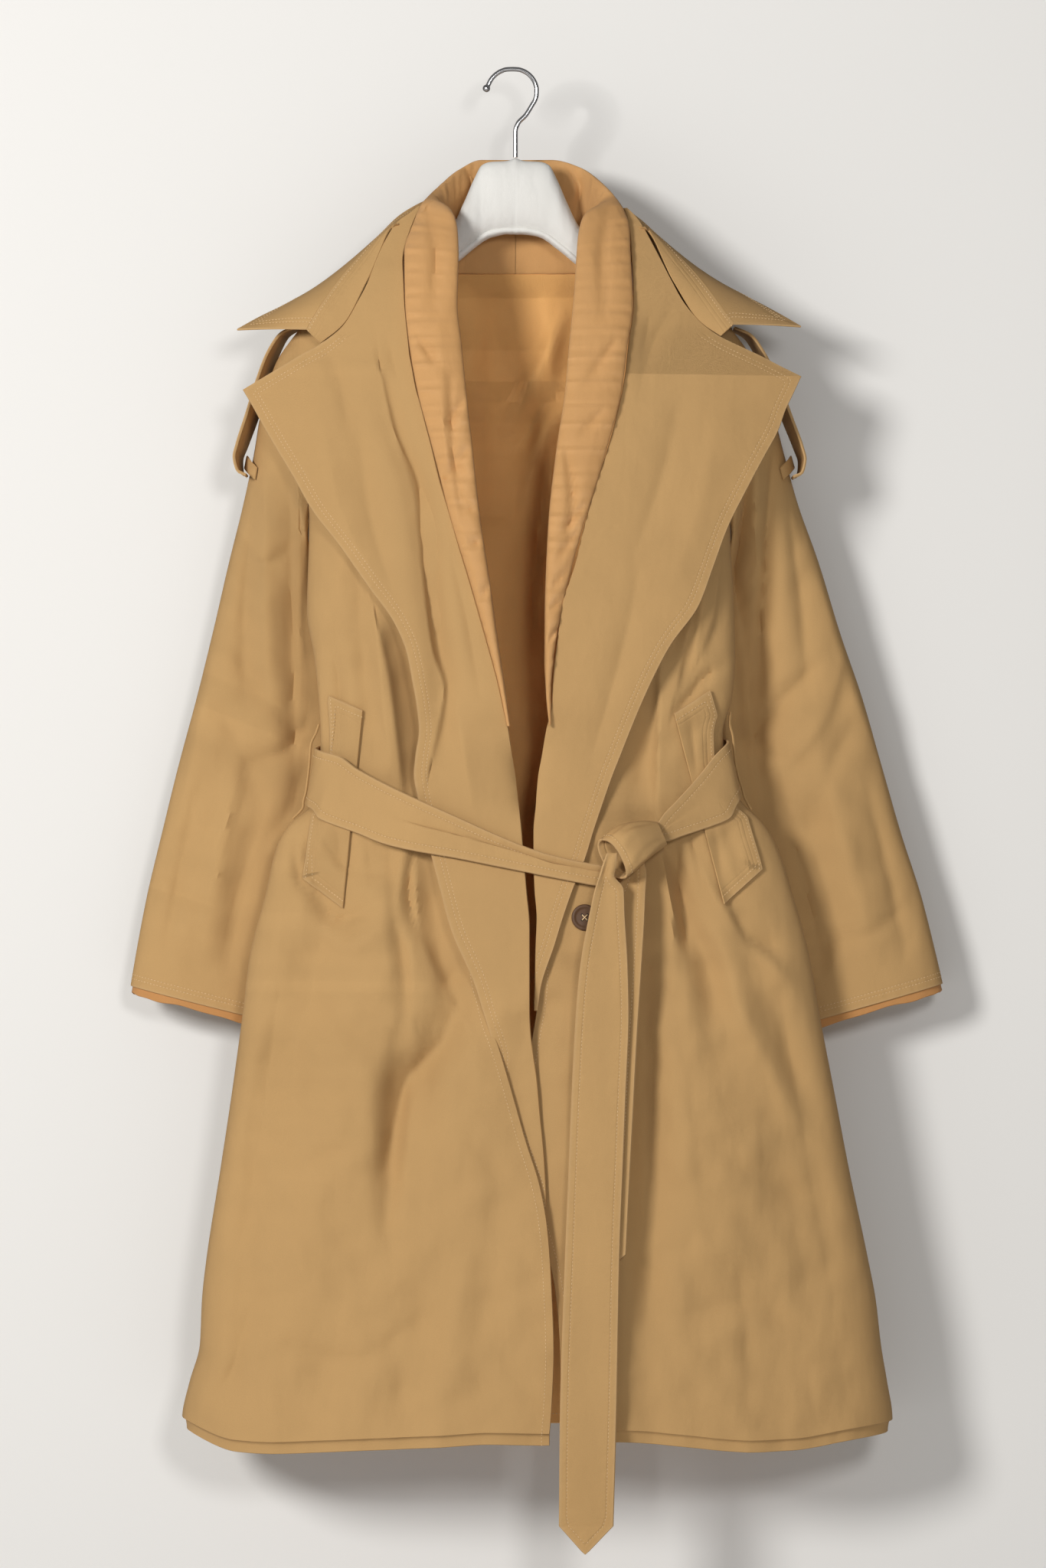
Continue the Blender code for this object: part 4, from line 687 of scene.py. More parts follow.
def cloth_material(name, base, roughness, sheen, rib, crease, small, mottle=0.05, rows=None,
                   pucker=0.3):
    """Cloth with the weave, and with the sewn edge if its rows of stitches are given."""
    _, tree, shader = principled(name, Roughness=roughness, Sheen_Weight=sheen,
                                 Sheen_Roughness=0.45, Specular_IOR_Level=0.25)
    weave = put(tree, "ShaderNodeGroup", {"node_tree": WEAVE}, Rib=rib, Rib_depth=RIB_DEPTH,
                Crease=crease, Small_crease=small, Mottle=mottle, Base=(*base, 1.0))
    colour, height = weave.outputs
    if rows:
        seam = put(tree, "ShaderNodeGroup", {"node_tree": SEAMS}, First_row=rows[0],
                   Second_row=rows[1], Pucker=pucker)
        height = calc(tree, "ADD", height, seam.outputs["Height"])
        worn = put(tree, "ShaderNodeMix", {"data_type": "RGBA"})
        tree.links.new(calc(tree, "MULTIPLY", seam.outputs["Rubbed"], RUBBED), worn.inputs[0])
        tree.links.new(colour, worn.inputs[6])
        worn.inputs[7].default_value = RUBBED_COLOUR
        colour = worn.outputs[2]
    bump = put(tree, "ShaderNodeBump", Height=height, Distance=MM, Strength=1.0)
    tree.links.new(bump.outputs[0], shader.inputs["Normal"])
    tree.links.new(colour, shader.inputs["Base Color"])


def plain_material(name, base, roughness, metallic=0.0, bump=0.0, specular=0.5):
    _, tree, shader = principled(name, Base_Color=(*base, 1.0), Roughness=roughness,
                                 Metallic=metallic, Specular_IOR_Level=specular)
    if bump:
        here = put(tree, "ShaderNodeTexCoord").outputs["Object"]
        height = put(tree, "ShaderNodeBump", Height=noise(tree, here, 700.0), Distance=bump * MM)
        tree.links.new(height.outputs[0], shader.inputs["Normal"])


KHAKI, AMBER = (0.530, 0.322, 0.132), (0.640, 0.332, 0.114)
cloth_material("gabardine", KHAKI, 0.80, 0.03, 0.45, 0.75, 0.12)
cloth_material("gabardine sewn", KHAKI, 0.80, 0.03, 0.45, 0.6, 0.10, rows=(7.0, 11.0))
cloth_material("gabardine belt", KHAKI, 0.80, 0.03, 0.45, 0.5, 0.12, rows=(6.5, 6.5))
cloth_material("padded lining", AMBER, 0.42, 0.06, 0.30, 0.8, 0.25, rows=(0.0, 4.0), pucker=1.8)
cloth_material("cuff lining", (0.600, 0.290, 0.100), 0.55, 0.06, 0.30, 1.0, 0.20)
# The back lining is given a much brighter colour than the padded lining: painted light for the
# coat's dim inside. The fronts and sleeves use it on their inner side too.
cloth_material("back lining painted brighter", (0.880, 0.475, 0.165), 0.50, 0.06, 0.30, 0.8, 0.20)
cloth_material("hanger cover", (0.800, 0.790, 0.755), 0.88, 0.10, 0.60, 0.5, 0.25, mottle=0.02)
plain_material("thread", (0.740, 0.530, 0.290), 0.7)
plain_material("polished steel", (0.520, 0.520, 0.530), 0.20, metallic=1.0)
plain_material("dark horn", (0.110, 0.056, 0.028), 0.45, bump=0.03, specular=0.3)
# The button's holes get a near-black colour: painted shade where a hole would be dark.
plain_material("painted hole shade", (0.010, 0.007, 0.005), 0.8)
print("materials:", len(bpy.data.materials))

# %% [markdown]
# ## The fronts and the back
# The fronts and back are cut flat and get their form only from the shoulders, the belt and
# their own weight. Each is one sheet here too, joined to its neighbours along the shoulder
# and side seams. Above the underarm its rows fan out from the shoulder to the armhole, and
# below they follow the levels. The lower edge rolls in to the tucked hem.

# %% Grids of the body
BODY_ROWS = (38, 158)                    # above and below the underarm
ACROSS = np.linspace(0, 1, 97)
SPREAD = 0.6 * (1 - np.clip(np.cos(0.5 * math.pi * ACROSS), 0, 1) ** (2 / ROUND)) + 0.4 * ACROSS
FRONT = np.array([0.0, -1.0, 0.0])


def top_of(x, face):
    x = np.abs(x)
    return np.where((x < NECK_SIDE) & (face == "back"), NECKLINE(x), SHOULDER(x))


def half_body(face, side):
    """x, y and z of one half of the body, from its side to its front edge or middle."""
    sign, rows = SIDE[side], []
    edge = FRONT_EDGE[side] if face == "front" else (lambda level: 0.0)
    dips = 1.0 if face == "front" else 0.4 + 0.6 * np.exp(-10 * ACROSS)
    for share in np.linspace(0, 1, BODY_ROWS[0]):
        start, stop = side_x(TIP_Z + (UNDERARM_Z - TIP_Z) * share, sign), edge(-150.0)
        for _ in range(4):
            top = SHOULDER(abs(stop))
            stop = edge(top + (UNDERARM_Z - top) * share)
        x = start + (stop - start) * SPREAD
        rows.append((x, top_of(x, face) + (UNDERARM_Z - top_of(x, face)) * share))
    for level in np.linspace(UNDERARM_Z - 6, HEM_LEVEL, BODY_ROWS[1]):
        z = np.full_like(SPREAD, level)
        for _ in range(3):
            x = side_x(z, sign) + (edge(level) - side_x(z, sign)) * SPREAD
            z = level + dips * HEM_DIPS(level) * (HEM(x) - HEM_LEVEL)
        rows.append((x, z))
    x, z = np.array(rows).transpose(1, 0, 2)
    y = front_y(x, z, side) - SEAM / 2 if face == "front" else body_y(x, z, "back") + SEAM / 2
    return point(x, y, z)


def tucked(grid, seam_columns):
    """The grid with its lower edge rolled in to the hem."""
    row = grid[-1]
    along = np.gradient(row[:, :2], axis=0)
    inward = np.stack([-along[:, 1], along[:, 0]], axis=1)
    middle = -row[:, :2] + (0.0, DEPTH["seam"](HEM_LEVEL))
    inward *= np.sign((inward * middle).sum(axis=1))[:, None]
    inward[seam_columns] = [(-np.sign(row[c, 0]), 0.0) for c in seam_columns]
    inward = unit(inward)
    rolls = [row + np.column_stack([turn * inward, np.full(len(row), -drop)])
             for drop, turn in HEM_TUCK]
    return np.concatenate([grid, rolls])


def seam_squares(grid, side_columns):
    """Where the cloth's edge is kept square to an axis, so that two pieces can meet."""
    arm = BODY_ROWS[0] - 1
    squares = [((0, c), 1) for c in range(grid.shape[1]) if abs(grid[0, c, 0]) > NECK_SIDE]
    for c in side_columns:
        squares += [((slice(0, arm), c), 0), ((slice(arm + 1, None), c), 1)]
    return squares


# %% Fronts and back
for side in SIDE:
    grid = tucked(half_body("front", side), [0])
    piece = shell("front_" + side, grid, SHELL, "gabardine", "back lining painted brighter", FRONT,
                  stitched={"last": (7.0,)}, square=seam_squares(grid, [0]))
    dress(piece, ["front_" + side], "hung")

right, left = half_body("back", "right"), half_body("back", "left")
grid = tucked(np.concatenate([right, left[:, -2::-1]], axis=1), [0, -1])
piece = shell("back_panel", grid, SHELL, "gabardine", "gabardine", -FRONT,
              square=seam_squares(grid, [0, -1]))
dress(piece, ["back_panel"], "hung")

# %% [markdown]
# ## The lining
# The warm inner coat shows in three places: its back through the open front, its padded
# collar beside the lapels, and a few millimetres at each cuff. The back lining is one slack
# sheet. The padded collar is a stuffed roll, full in the middle and drawn in along its seam,
# where the machine has puckered it.

# %% Back lining
LINING_TOP, LINING_LOW, LINING_INSET = (-192.8, 68.0), -1306.0, 12.0
LINING_NECK_Y = curve([0, 40, 68], [33, 30, 24])
LINING_WIDTHS = curve([-1330, -440, -420, -310, -300, -200],
                      [0.86, 0.86, 0.80, 0.80, 0.58, 0.58])
LINING_SPREAD = -215                     # it widens from its neck down to this level
LINING_DEEPER = 1.2                      # its own folds, against their table
FOLDS["lining"] = [
    (5, 9, 60, -300, 22, -360, 8, -420), (-4, 8, 84, -310, 44, -380, 26, -450),
    (5, 6, 48, -230, 20, -290, -6, -330), (-3, 6, 40, -300, 8, -350, -10, -376),
    (5, 7, 38, -360, 30, -440, 22, -540), (-4, 7, 30, -380, 20, -460, 14, -560),
    (5, 22, -40, -220, -56, -330, -52, -450), (-4, 16, -20, -215, -24, -330, -20, -460),
    (3, 10, 30, -215, 34, -280, 28, -350), (-3, 12, -70, -240, -84, -330, -80, -420),
    (4, 16, 10, -430, 6, -560, 12, -700), (3, 30, -60, -800, -70, -1000, -80, -1290),
    (3, 30, 60, -800, 80, -1000, 90, -1290)]


def lining_grid():
    z = np.concatenate([np.linspace(LINING_TOP[0], LINING_SPREAD, 8)[:-1],
                        np.linspace(LINING_SPREAD, LINING_LOW, 110)])
    share = np.linspace(0, 1, 61)
    near = ramp(z, LINING_SPREAD, LINING_TOP[0])[:, None]
    sides = [(1 - near) * (LINING_WIDTHS(z) * side_x(z, sign))[:, None]
             + near * sign * LINING_TOP[1] for sign in (-1.0, 1.0)]
    x = sides[0] + (sides[1] - sides[0]) * share
    z = np.broadcast_to(z[:, None], x.shape)
    y = body_y(x, z, "back", False) - LINING_INSET - folds_at(FOLDS["back"][:7], x, z)
    own = LINING_DEEPER * folds_at(FOLDS["lining"], x, z) + crumple(60, x, z, LINING_CRUMPLED)
    y = y - own * (1 - near)
    return point(x, (1 - near) * y + near * LINING_NECK_Y(np.abs(x)), z)


# Its colour is painted brighter than the lining's own: painted light inside the coat.
piece = shell("lining_back", lining_grid(), LINING, "back lining painted brighter", "back lining painted brighter", FRONT,
              stitched={"low": (9.0,)})
dress(piece, ["lining_back"], "hung")

# %% Padded collar: its outer edge, at the khaki, its inner roll, and half its thickness
SHAWL = {
    "right": [
        (-0.2, 33, -82, -0.2, 33, -192.5, 4.0), (-32, 31, -82, -40, 30, -192.5, 4.5),
        (-54, 22, -92, -58, 26, -192.5, 5.0), (-73, 2, -110, -68, 10, -165, 5.0),
        (-88, -17, -127, -60, -34, -140, 6.0), (-98, -29, -150, -55, -42, -158, 6.5),
        (-106, -42, -179, -54, -50, -184, 7.0), (-105, -56, -226, -55, -60, -228, 7.5),
        (-101, -66, -266, -51, -68, -266, 8.0), (-94, -72, -307, -47, -74, -307, 8.0),
        (-80, -76, -361, -41, -78, -361, 8.0), (-61, -78, -434, -33, -80, -434, 8.0),
        (-43, -78, -493, -24, -80, -493, 7.5), (-28, -76, -545, -17, -78, -545, 6.0),
        (-16, -73, -590, -10, -74, -592, 4.0), (-8, -71, -630, -5, -71, -630, 2.0)],
    "left": [
        (0.2, 33, -82, 0.2, 33, -192.5, 4.0), (34, 31, -82, 42, 30, -192.5, 4.5),
        (62, 22, -90, 60, 26, -192.5, 5.0), (84, 2, -108, 74, 8, -165, 5.0),
        (101, -17, -130, 66, -34, -142, 6.0), (109, -30, -153, 60, -42, -160, 6.5),
        (110, -42, -180, 58, -50, -184, 7.0), (112, -56, -226, 55, -60, -226, 7.5),
        (107, -66, -266, 51, -68, -266, 8.0), (101, -72, -312, 47, -74, -312, 8.0),
        (85, -76, -374, 38, -78, -374, 8.0), (64, -78, -442, 31, -80, -442, 8.0),
        (43, -78, -523, 28, -80, -523, 7.0), (36, -76, -567, 28, -78, -567, 5.5),
        (34, -74, -596, 29, -74, -598, 3.5), (34, -72, -628, 32, -72, -630, 2.0)]}
FOLDS["shawl"] = [
    (4, 4, -50, -88, -41, -108, -57, -135), (4, 4, 49, -88, 62, -112, 58, -136),
    (2.5, 5, -84, -135, -76, -180, -78, -230), (-2, 6, -74, -250, -70, -320, -62, -390),
    (2.5, 4, -62, -300, -60, -360, -50, -430), (3, 4, -64, -346, -46, -316),
    (3, 4, -57, -384, -43, -366), (3, 3.5, -70, -400, -58, -388, -43, -394),
    (2.5, 3.5, -50, -422, -30, -429), (2.5, 3.5, -33, -508, -18, -490),
    (2.5, 3.5, -44, -460, -28, -452), (2.5, 5, 88, -140, 82, -190, 84, -240),
    (3, 4, 47, -366, 54, -414, 50, -450), (2, 4, 84, -330, 62, -352), (2.5, 3, 66, -420, 44, -446),
    (2.5, 3, 60, -444, 40, -470), (2.5, 3, 52, -480, 34, -498), (2.5, 3, 48, -506, 32, -520),
    (2.5, 3, 42, -534, 30, -552), (2.5, 4, 96, -262, 70, -300), (2.5, 4, -92, -262, -72, -290)]
DRAWN_WAVES = ((13.0, 0.4), (8.3, 1.9), (21.0, 3.0))   # length and start of each wave of pucker
DRAWN_TOP, DRAWN_MORE, DRAWN_OVER = 0.06, 0.19, 400    # drawn in at the neck, and more below


def padded_collar(side, count=240, around=60):
    place = stations("xo yo zo xi yi zi half", SHAWL[side], count)
    outer, inner = [point(*[place[axis + end] for axis in "xyz"]) for end in "oi"]
    middle = (outer + inner) / 2
    route = np.gradient(middle, axis=0)
    route[0] = (SIDE[side], 0.0, 0.0)
    across = (outer - inner) / 2
    through = unit(np.cross(across, route)) * place["half"][:, None]
    u, v = ring_round(np.linspace(0, 2 * math.pi, around, endpoint=False), 2.6)
    run = np.concatenate([[0.0], np.cumsum(np.linalg.norm(np.diff(outer, axis=0), axis=1))])
    drawn = sum(np.sin(run * 2 * math.pi / wave + phase) / i
                for i, (wave, phase) in enumerate(DRAWN_WAVES, start=1))
    strength = DRAWN_TOP + DRAWN_MORE * ramp(run, 0, DRAWN_OVER)
    swell = 1 - (strength * (1 + drawn))[:, None] * np.clip(u, 0, 1) ** 2
    rings = middle[:, None] + u[:, None] * across[:, None] \
        + (v * swell)[..., None] * through[:, None]
    pressed = folds_at(FOLDS["shawl"], rings[..., 0], rings[..., 2]) * np.abs(v)
    facing = -np.sign(rings[..., 1] - middle[:, None, 1])
    rings[..., 1] += pressed * facing
    return rings


for side in SIDE:
    piece = solid_loft("lining_collar_" + side, padded_collar(side), "padded lining")
    dress(piece, ["lining_collar_" + side])


# %% [markdown]
# ## Lapels and collar
# A lapel is the top of the front turned over, with a second layer sewn on so that its best
# side shows. It falls back in a soft curve, and its edge is held by two rows of stitches.
# The collar has a stand that rises round the neck and a leaf that turns down over it.

# %% Lapel tables: level, inner edge, outer edge
LAPEL_CREST = curve(
    [-1330, -1150, -1000, -850, -750, -700, -640, -600, -500, -400, -308, -265, -200, -180,
     -150, -128],
    [-101, -96, -88, -76, -66, -62, -66, -73, -80, -80, -73, -67, -51, -43, -30, -17])
LAPEL_FLARE, VALLEY_HALF_WIDTH = 0.0006, 13.0
LAPEL_LANDS, LAPEL_FOLLOWS = (-700, -760), (-860, -900)    # onto the front, then its folds too
LEFT_STAND = -7.0                        # how far off the front the left lapel lies there
FOLD_STARTS, FOLD_ENDS, FOLD_REACH = (-640, -670), (-720, -700), 8.0
LAPEL_ROWS = {
    "right": [
        (-131, -90, -93), (-138, -94, -101), (-147, -98, -113), (-165, -104, -124),
        (-185, -108, -133), (-205, -107, -140), (-225, -106, -150), (-247, -104, -163),
        (-265, -102, -185), (-276, -101, -205), (-286, -99, -222), (-297, -97, -241),
        (-308, -95, -260), (-325, -90, -250), (-345, -85, -239), (-364, -80, -228),
        (-394, -73, -210), (-424, -64, -193), (-459, -54, -166), (-499, -42, -138),
        (-531, -33, -115), (-559, -25, -103), (-589, -17, -97), (-612, -12, -93),
        (-634, -7, -91), (-655, -4, -94), (-675, -1, -96), (-700, 2, -92), (-725, 5, -86),
        (-750, 7, -80), (-785, 10, -71), (-822, 13, -61), (-873, 13, -39), (-898, 13, -31),
        (-921, 14, -24), (-945, 17, -18), (-966, 20, -20), (-1000, 23, -10), (-1030, 26, 2),
        (-1060, 28, 13), (-1086, 29, 21)],
    "left": [
        (-133, 104, 107), (-140, 107, 114), (-150, 109, 121), (-165, 111, 129),
        (-185, 112, 139), (-205, 113, 149), (-225, 113, 160), (-247, 111, 179),
        (-258, 109, 195), (-267, 108, 214), (-276, 107, 234), (-286, 106, 254),
        (-295, 105, 273), (-312, 102, 265), (-329, 98, 257), (-346, 94, 251),
        (-374, 86, 236), (-404, 76, 220), (-440, 66, 202), (-478, 57, 188),
        (-515, 45, 174), (-553, 40, 147), (-577, 37, 134), (-612, 35, 118),
        (-634, 30, 109), (-657, 26, 100), (-680, 22, 91), (-706, 20, 82), (-730, 18, 74),
        (-756, 18, 66), (-786, 19, 54), (-812, 21, 45), (-838, 20, 37), (-878, 19, 24),
        (-900, 18, 21)]}
LAPEL_MIDDLE = {
    "right": columns("z x depth", [
        (-131, -92, 0), (-165, -112, 0), (-205, -120, 0), (-247, -128, 0), (-280, -131, 0),
        (-306, -128, 1), (-355, -115, 4), (-396, -96, 6), (-434, -89, 7), (-492, -82, 7),
        (-587, -70, 6), (-612, -71, 4), (-640, -66, 1), (-700, -50, 0), (-785, -32, 0),
        (-873, -14, 0), (-966, 2, 0), (-1086, 25, 0)]),
    "left": columns("z x depth", [
        (-133, 106, 0), (-205, 126, 0), (-258, 135, 0), (-295, 150, 0), (-374, 135, 0),
        (-515, 90, 0), (-612, 66, 0), (-706, 44, 0), (-786, 32, 0), (-900, 19.5, 0)])}
GORGE_END = -254.0                       # where collar and lapel part
LAPEL_CROSSING = curve([-1100, -966, -950, -925, -880, -700], [5, 5, 4, 0, -8, -8])
FOLDS["lapel_right"] = [
    (2.5, 12, -150, -330, -140, -420, -118, -500), (-2, 12, -186, -340, -168, -420, -140, -480),
    (2, 8, -60, -470, -44, -540, -34, -600), (1.5, 7, -120, -270, -112, -300),
    (2.5, 9, -185, -266, -164, -315, -158, -350), (-2, 9, -58, -600, -48, -660, -40, -710)]
LAPEL_CREASES = {"left": [], "right": [
    (9, 8, -128, -296, -117, -346, -96, -404, -92, -443, -88, -492, -84, -528, -79, -560, -68, -596,
     -80, -660)]}
FOLDS["lapel_left"] = [
    (1.6, 12, 158, -310, 140, -390, 112, -470), (-1.2, 14, 196, -330, 176, -420, 150, -500),
    (1.5, 10, 118, -480, 98, -570, 72, -660), (2, 9, 150, -232, 132, -262, 120, -300),
    (1.5, 7, 128, -240, 120, -280)]


# %% Lapels
def lapel_y(x, z, side, fold_x):
    """The middle of a lapel's cloth."""
    middle, folded, front = LAPEL_MIDDLE[side], front_y(x, z, side), front_y(x, z, side, False)
    y = LAPEL_CREST(z) + LAPEL_FLARE * x * x
    y = y + middle["depth"](z) * np.exp(-((x - middle["x"](z)) / VALLEY_HALF_WIDTH) ** 2)
    y = y + folds_at(FOLDS["lapel_" + side], x, z) + crumple(40, x, z, LAPEL_CRUMPLED)
    y = y + creases_at(LAPEL_CREASES[side], x, z)
    front = front + (folded - front) * ramp(z, *LAPEL_FOLLOWS)
    below = ramp(z, *LAPEL_LANDS)
    stand = LAPEL_CROSSING(z) if side == "right" else LEFT_STAND
    y = y * (1 - below) + below * (front + stand)
    seat = folded - (LAPEL_CLOTH + SHELL) / 2 - 2 * SEAM
    share = (np.exp(-np.abs(x - fold_x) / FOLD_REACH) * ramp(z, *FOLD_STARTS)
             * ramp(z, *FOLD_ENDS))
    return y * (1 - share) + seat * share


def lapel_grid(side, spacing=4.0, across=65):
    z, inner, outer = np.array(LAPEL_ROWS[side], float).T
    tip = int(np.argmax(np.abs(outer)))
    levels = [np.linspace(z[a], z[b - 1], int((z[a] - z[b - 1]) / spacing) + 2)
              for a, b in ((0, tip + 1), (tip, len(z)))]
    outers = [curve(z[a:b][::-1], outer[a:b][::-1])(level)
              for (a, b), level in zip(((0, tip + 1), (tip, len(z))), levels)]
    level = np.concatenate([levels[0], levels[1][1:]])
    outer = np.concatenate([outers[0], outers[1][1:]])[:, None]
    inner = curve(z[::-1], inner[::-1])(level)[:, None]
    level = level[:, None]
    middle = LAPEL_MIDDLE[side]["x"](level)
    share = 2 * np.linspace(0, 1, across)
    x = np.where(share < 1, inner + (middle - inner) * share,
                 middle + (outer - middle) * (share - 1))
    level = np.broadcast_to(level, x.shape)
    return point(x, lapel_y(x, level, side, inner), level)


for side in SIDE:
    piece = shell("lapel_" + side, lapel_grid(side), LAPEL_CLOTH, "gabardine sewn", None, FRONT,
                  stitched={"last": (7.0, 11.0)}, sewn_below=GORGE_END)
    dress(piece, ["lapel_" + side], "folded")

# %% Collar: neck edge, stand seam and free edge, then what bends the leaf between the last two
LEAF_NAMES = "xa ya za xm ym zm xb yb zb reach push_y push_z"
LEAF = {
    "right": [
        (-186, -46, -264, -199, -45, -251, -266, -24, -250, 0.5, -4, 1),
        (-164, -45, -246, -188, -42, -232, -243, -8, -236, 0.5, -4, 4),
        (-141, -41, -203, -170, -32, -206, -212, 14, -220, 0.45, -2, 8),
        (-115, -27, -149, -131, -12, -160, -165, 42, -201, 0.3, 2, 8),
        (-98, 2, -149, -106, 16, -134, -112, 58, -196, 0.15, 8, 12),
        (-60, 38, -174, -62, 41, -114, -58, 65, -200, 0.1, 10, 16),
        (0, 44, -183.4, 0, 46, -108, 0, 68, -209, 0.1, 11, 16)],
    "left": [
        (196, -43, -257, 208, -42, -246, 273, -22, -247, 0.5, -4, 1),
        (176, -43, -243, 196, -40, -230, 249, -8, -232, 0.5, -4, 4),
        (151, -40, -204, 176, -32, -203, 214, 14, -213, 0.45, -2, 8),
        (123, -27, -152, 137, -12, -160, 165, 42, -198, 0.3, 2, 8),
        (101, 2, -151, 109, 16, -134, 112, 58, -196, 0.15, 8, 12),
        (60, 38, -174, 62, 41, -114, 58, 65, -200, 0.1, 10, 16),
        (0, 44, -183.4, 0, 46, -108, 0, 68, -209, 0.1, 11, 16)]}
STAND_GAP, NECK_GAP, GORGE_FROM = (0.2, 0.9), 1.0, {"right": 114.0, "left": 124.0}


def collar_side(side, count=85):
    """Neck edge, stand seam, bend and free edge of half the collar, from its notch to the back."""
    p = stations(LEAF_NAMES, LEAF[side], count)
    x, y, z = p["xa"], p["ya"], p["za"]
    back = np.abs(x) < NECK_SIDE
    z = np.where(back, NECKLINE(np.abs(x)) + NECK_GAP, z)
    y = np.where(back, body_y(x, NECKLINE(np.abs(x)), "back") + SEAM / 2, y)
    y = np.where(np.abs(x) > GORGE_FROM[side], lapel_y(x, z, side, 0.0), y)
    a, m, b = point(x, y, z), point(p["xm"], p["ym"], p["zm"]), point(p["xb"], p["yb"], p["zb"])
    reach = p["reach"][:, None]
    bend = m + (b - m) * reach + point(0.0, p["push_y"], p["push_z"])
    gap = STAND_GAP[0] * 2 * reach + STAND_GAP[1] * (1 - 2 * reach)
    return a, m - unit(m - a) * gap, m + unit(bend - m) * gap, bend, b


halves = [collar_side(side) for side in ("right", "left")]
a, top, start, bend, b = [np.concatenate([right, left[-2::-1]])[:, None]
                          for right, left in zip(*halves)]
t = np.linspace(0, 1, 11)[:, None]
stand = a + (top - a) * t + point(0.0, -1.5 * np.sin(math.pi * t[:, 0]), 0.0)
t = np.linspace(0, 1, 27)[:, None]
leaf = (1 - t) ** 2 * start + 2 * t * (1 - t) * bend + t * t * b
NECK_AXIS = np.array([0.0, -6.0, -190.0])
outward = stand - NECK_AXIS
piece = shell("collar_stand", stand, LAPEL_CLOTH, "gabardine sewn", None, outward,
              stitched={"last": (2.5,)})
dress(piece, ["collar_stand"], "folded")
piece = shell("collar_leaf", leaf, LAPEL_CLOTH, "gabardine sewn", None,
              leaf - NECK_AXIS + (0, 0, 60),
              stitched=dict.fromkeys(("last", "top", "low"), (7.0, 11.0)))
dress(piece, ["collar_leaf"], "folded")

# %% [markdown]
# ## Sleeves
# A sleeve is cut in two lengths, top and under, and set into the armhole a little fuller than
# the hole, which makes its head round. It hangs as a flattened tube, with long folds from the
# underarm. It could be a plain cone, but then it would look like a pipe: the table gives its
# outer and inner edges, and its section is a soft oval between them.

# %% Sleeve tables
SLEEVE_NAMES = "x_out z_out x_in z_in middle_y half_depth"
SLEEVES = {
    "right": [
        (-219, -260, -200.5, -440, 0, 37), (-231, -284, -200, -450, 5, 36),
        (-244, -326, -197.5, -466, 14, 35), (-252, -370, -196, -488, 22, 34),
        (-262, -415, -190, -520, 30, 33), (-276, -470, -178, -560, 38, 31),
        (-292, -538, -166, -608, 42, 30), (-308, -602, -164, -660, 46, 28),
        (-325, -665, -172, -715, 47, 27), (-341, -730, -194, -775, 47, 27),
        (-356, -793, -212, -835, 47, 27), (-366, -845, -222, -885, 47, 27),
        (-372, -880, -230, -916, 47, 27)],
    "left": [
        (219, -260, 208.5, -440, 0, 37), (231, -284, 208, -450, 5, 36),
        (248, -330, 205.5, -466, 14, 35), (259, -370, 204, -488, 22, 34),
        (272, -415, 199, -520, 30, 33), (292, -470, 190, -560, 38, 31),
        (313, -538, 180, -608, 42, 30), (335, -602, 176, -660, 46, 28),
        (354, -668, 188, -715, 47, 27), (373, -734, 216, -775, 47, 27),
        (392, -793, 236, -835, 47, 27), (406, -848, 250, -888, 47, 27),
        (413, -878, 258, -922, 47, 27)]}
SLEEVE_FULLNESS, ARMHOLE_TURN, HEAD_LENGTH = 2.3, -360.0, 0.08
FOLDS["sleeve"] = [
    (7, 12, -216, -400, -216, -526, -212, -684, -240, -745),
    (-3, 10, -238, -380, -240, -520, -232, -640),
    (4, 9, -252, -420, -262, -520, -262, -600), (4, 11, -270, -560, -238, -606, -206, -640),
    (-4, 13, -262, -650, -284, -760, -296, -850), (4, 9, -244, -700, -270, -800, -284, -880),
    (3, 8, -310, -700, -328, -790, -340, -860), (3, 7, -200, -620, -222, -652, -262, -668),
    (3, 8, -214, -452, -232, -470, -252, -476), (-2.5, 12, -290, -560, -308, -640, -322, -720),
    (2.5, 10, -300, -600, -270, -640, -250, -700), (2.5, 9, -340, -770, -310, -800, -280, -806),
    (8, 6, 223, -382, 216, -448, 211, -484, 214, -524), (-3.5, 6, 230, -372, 230, -443, 237, -492),
    (6, 7, 246, -372, 241, -433, 239, -492, 236, -540, 238, -600),
    (8, 18, 216, -476, 222, -560, 228, -640, 244, -730), (4, 10, 262, -420, 276, -520, 282, -600),
    (4, 11, 300, -560, 256, -606, 222, -646), (-4, 14, 290, -640, 322, -760, 344, -850),
    (6, 12, 256, -690, 274, -760, 286, -810, 300, -880), (3, 8, 340, -690, 362, -780, 378, -860),
    (3, 7, 214, -622, 240, -650, 290, -672), (-3, 14, 300, -480, 322, -560, 344, -640),
    (3, 12, 330, -620, 300, -680, 290, -740), (3, 9, 380, -800, 340, -830, 300, -836)]
CREASES["sleeve"] = [
    (9, 13, 202, -410, 206, -520, 214, -600, 228, -700),
    (3, 7, 243, -372, 238, -433, 236, -492, 232, -545),
    (7, 13, -207, -450, -208, -540, -208, -640, -224, -720),
    (5, 8, 268, -700, 286, -770, 300, -840),
    (4, 8, -262, -655, -276, -720, -290, -790), (4, 9, 318, -560, 300, -620, 262, -670)]
FOLDS["sleeve"] += gathers(10, -356, -236, 16, -961, -0.25, -34, 1.3, 0.3)
FOLDS["sleeve"] += gathers(11, 276, 404, 16, -953.016, 0.252, -34, 1.3, -0.3)
CUFF_FADE, CUFF_FADE_OVER, CUFF_KEEPS = 0.95, 0.09, 0.08      # the cuff is held flatter


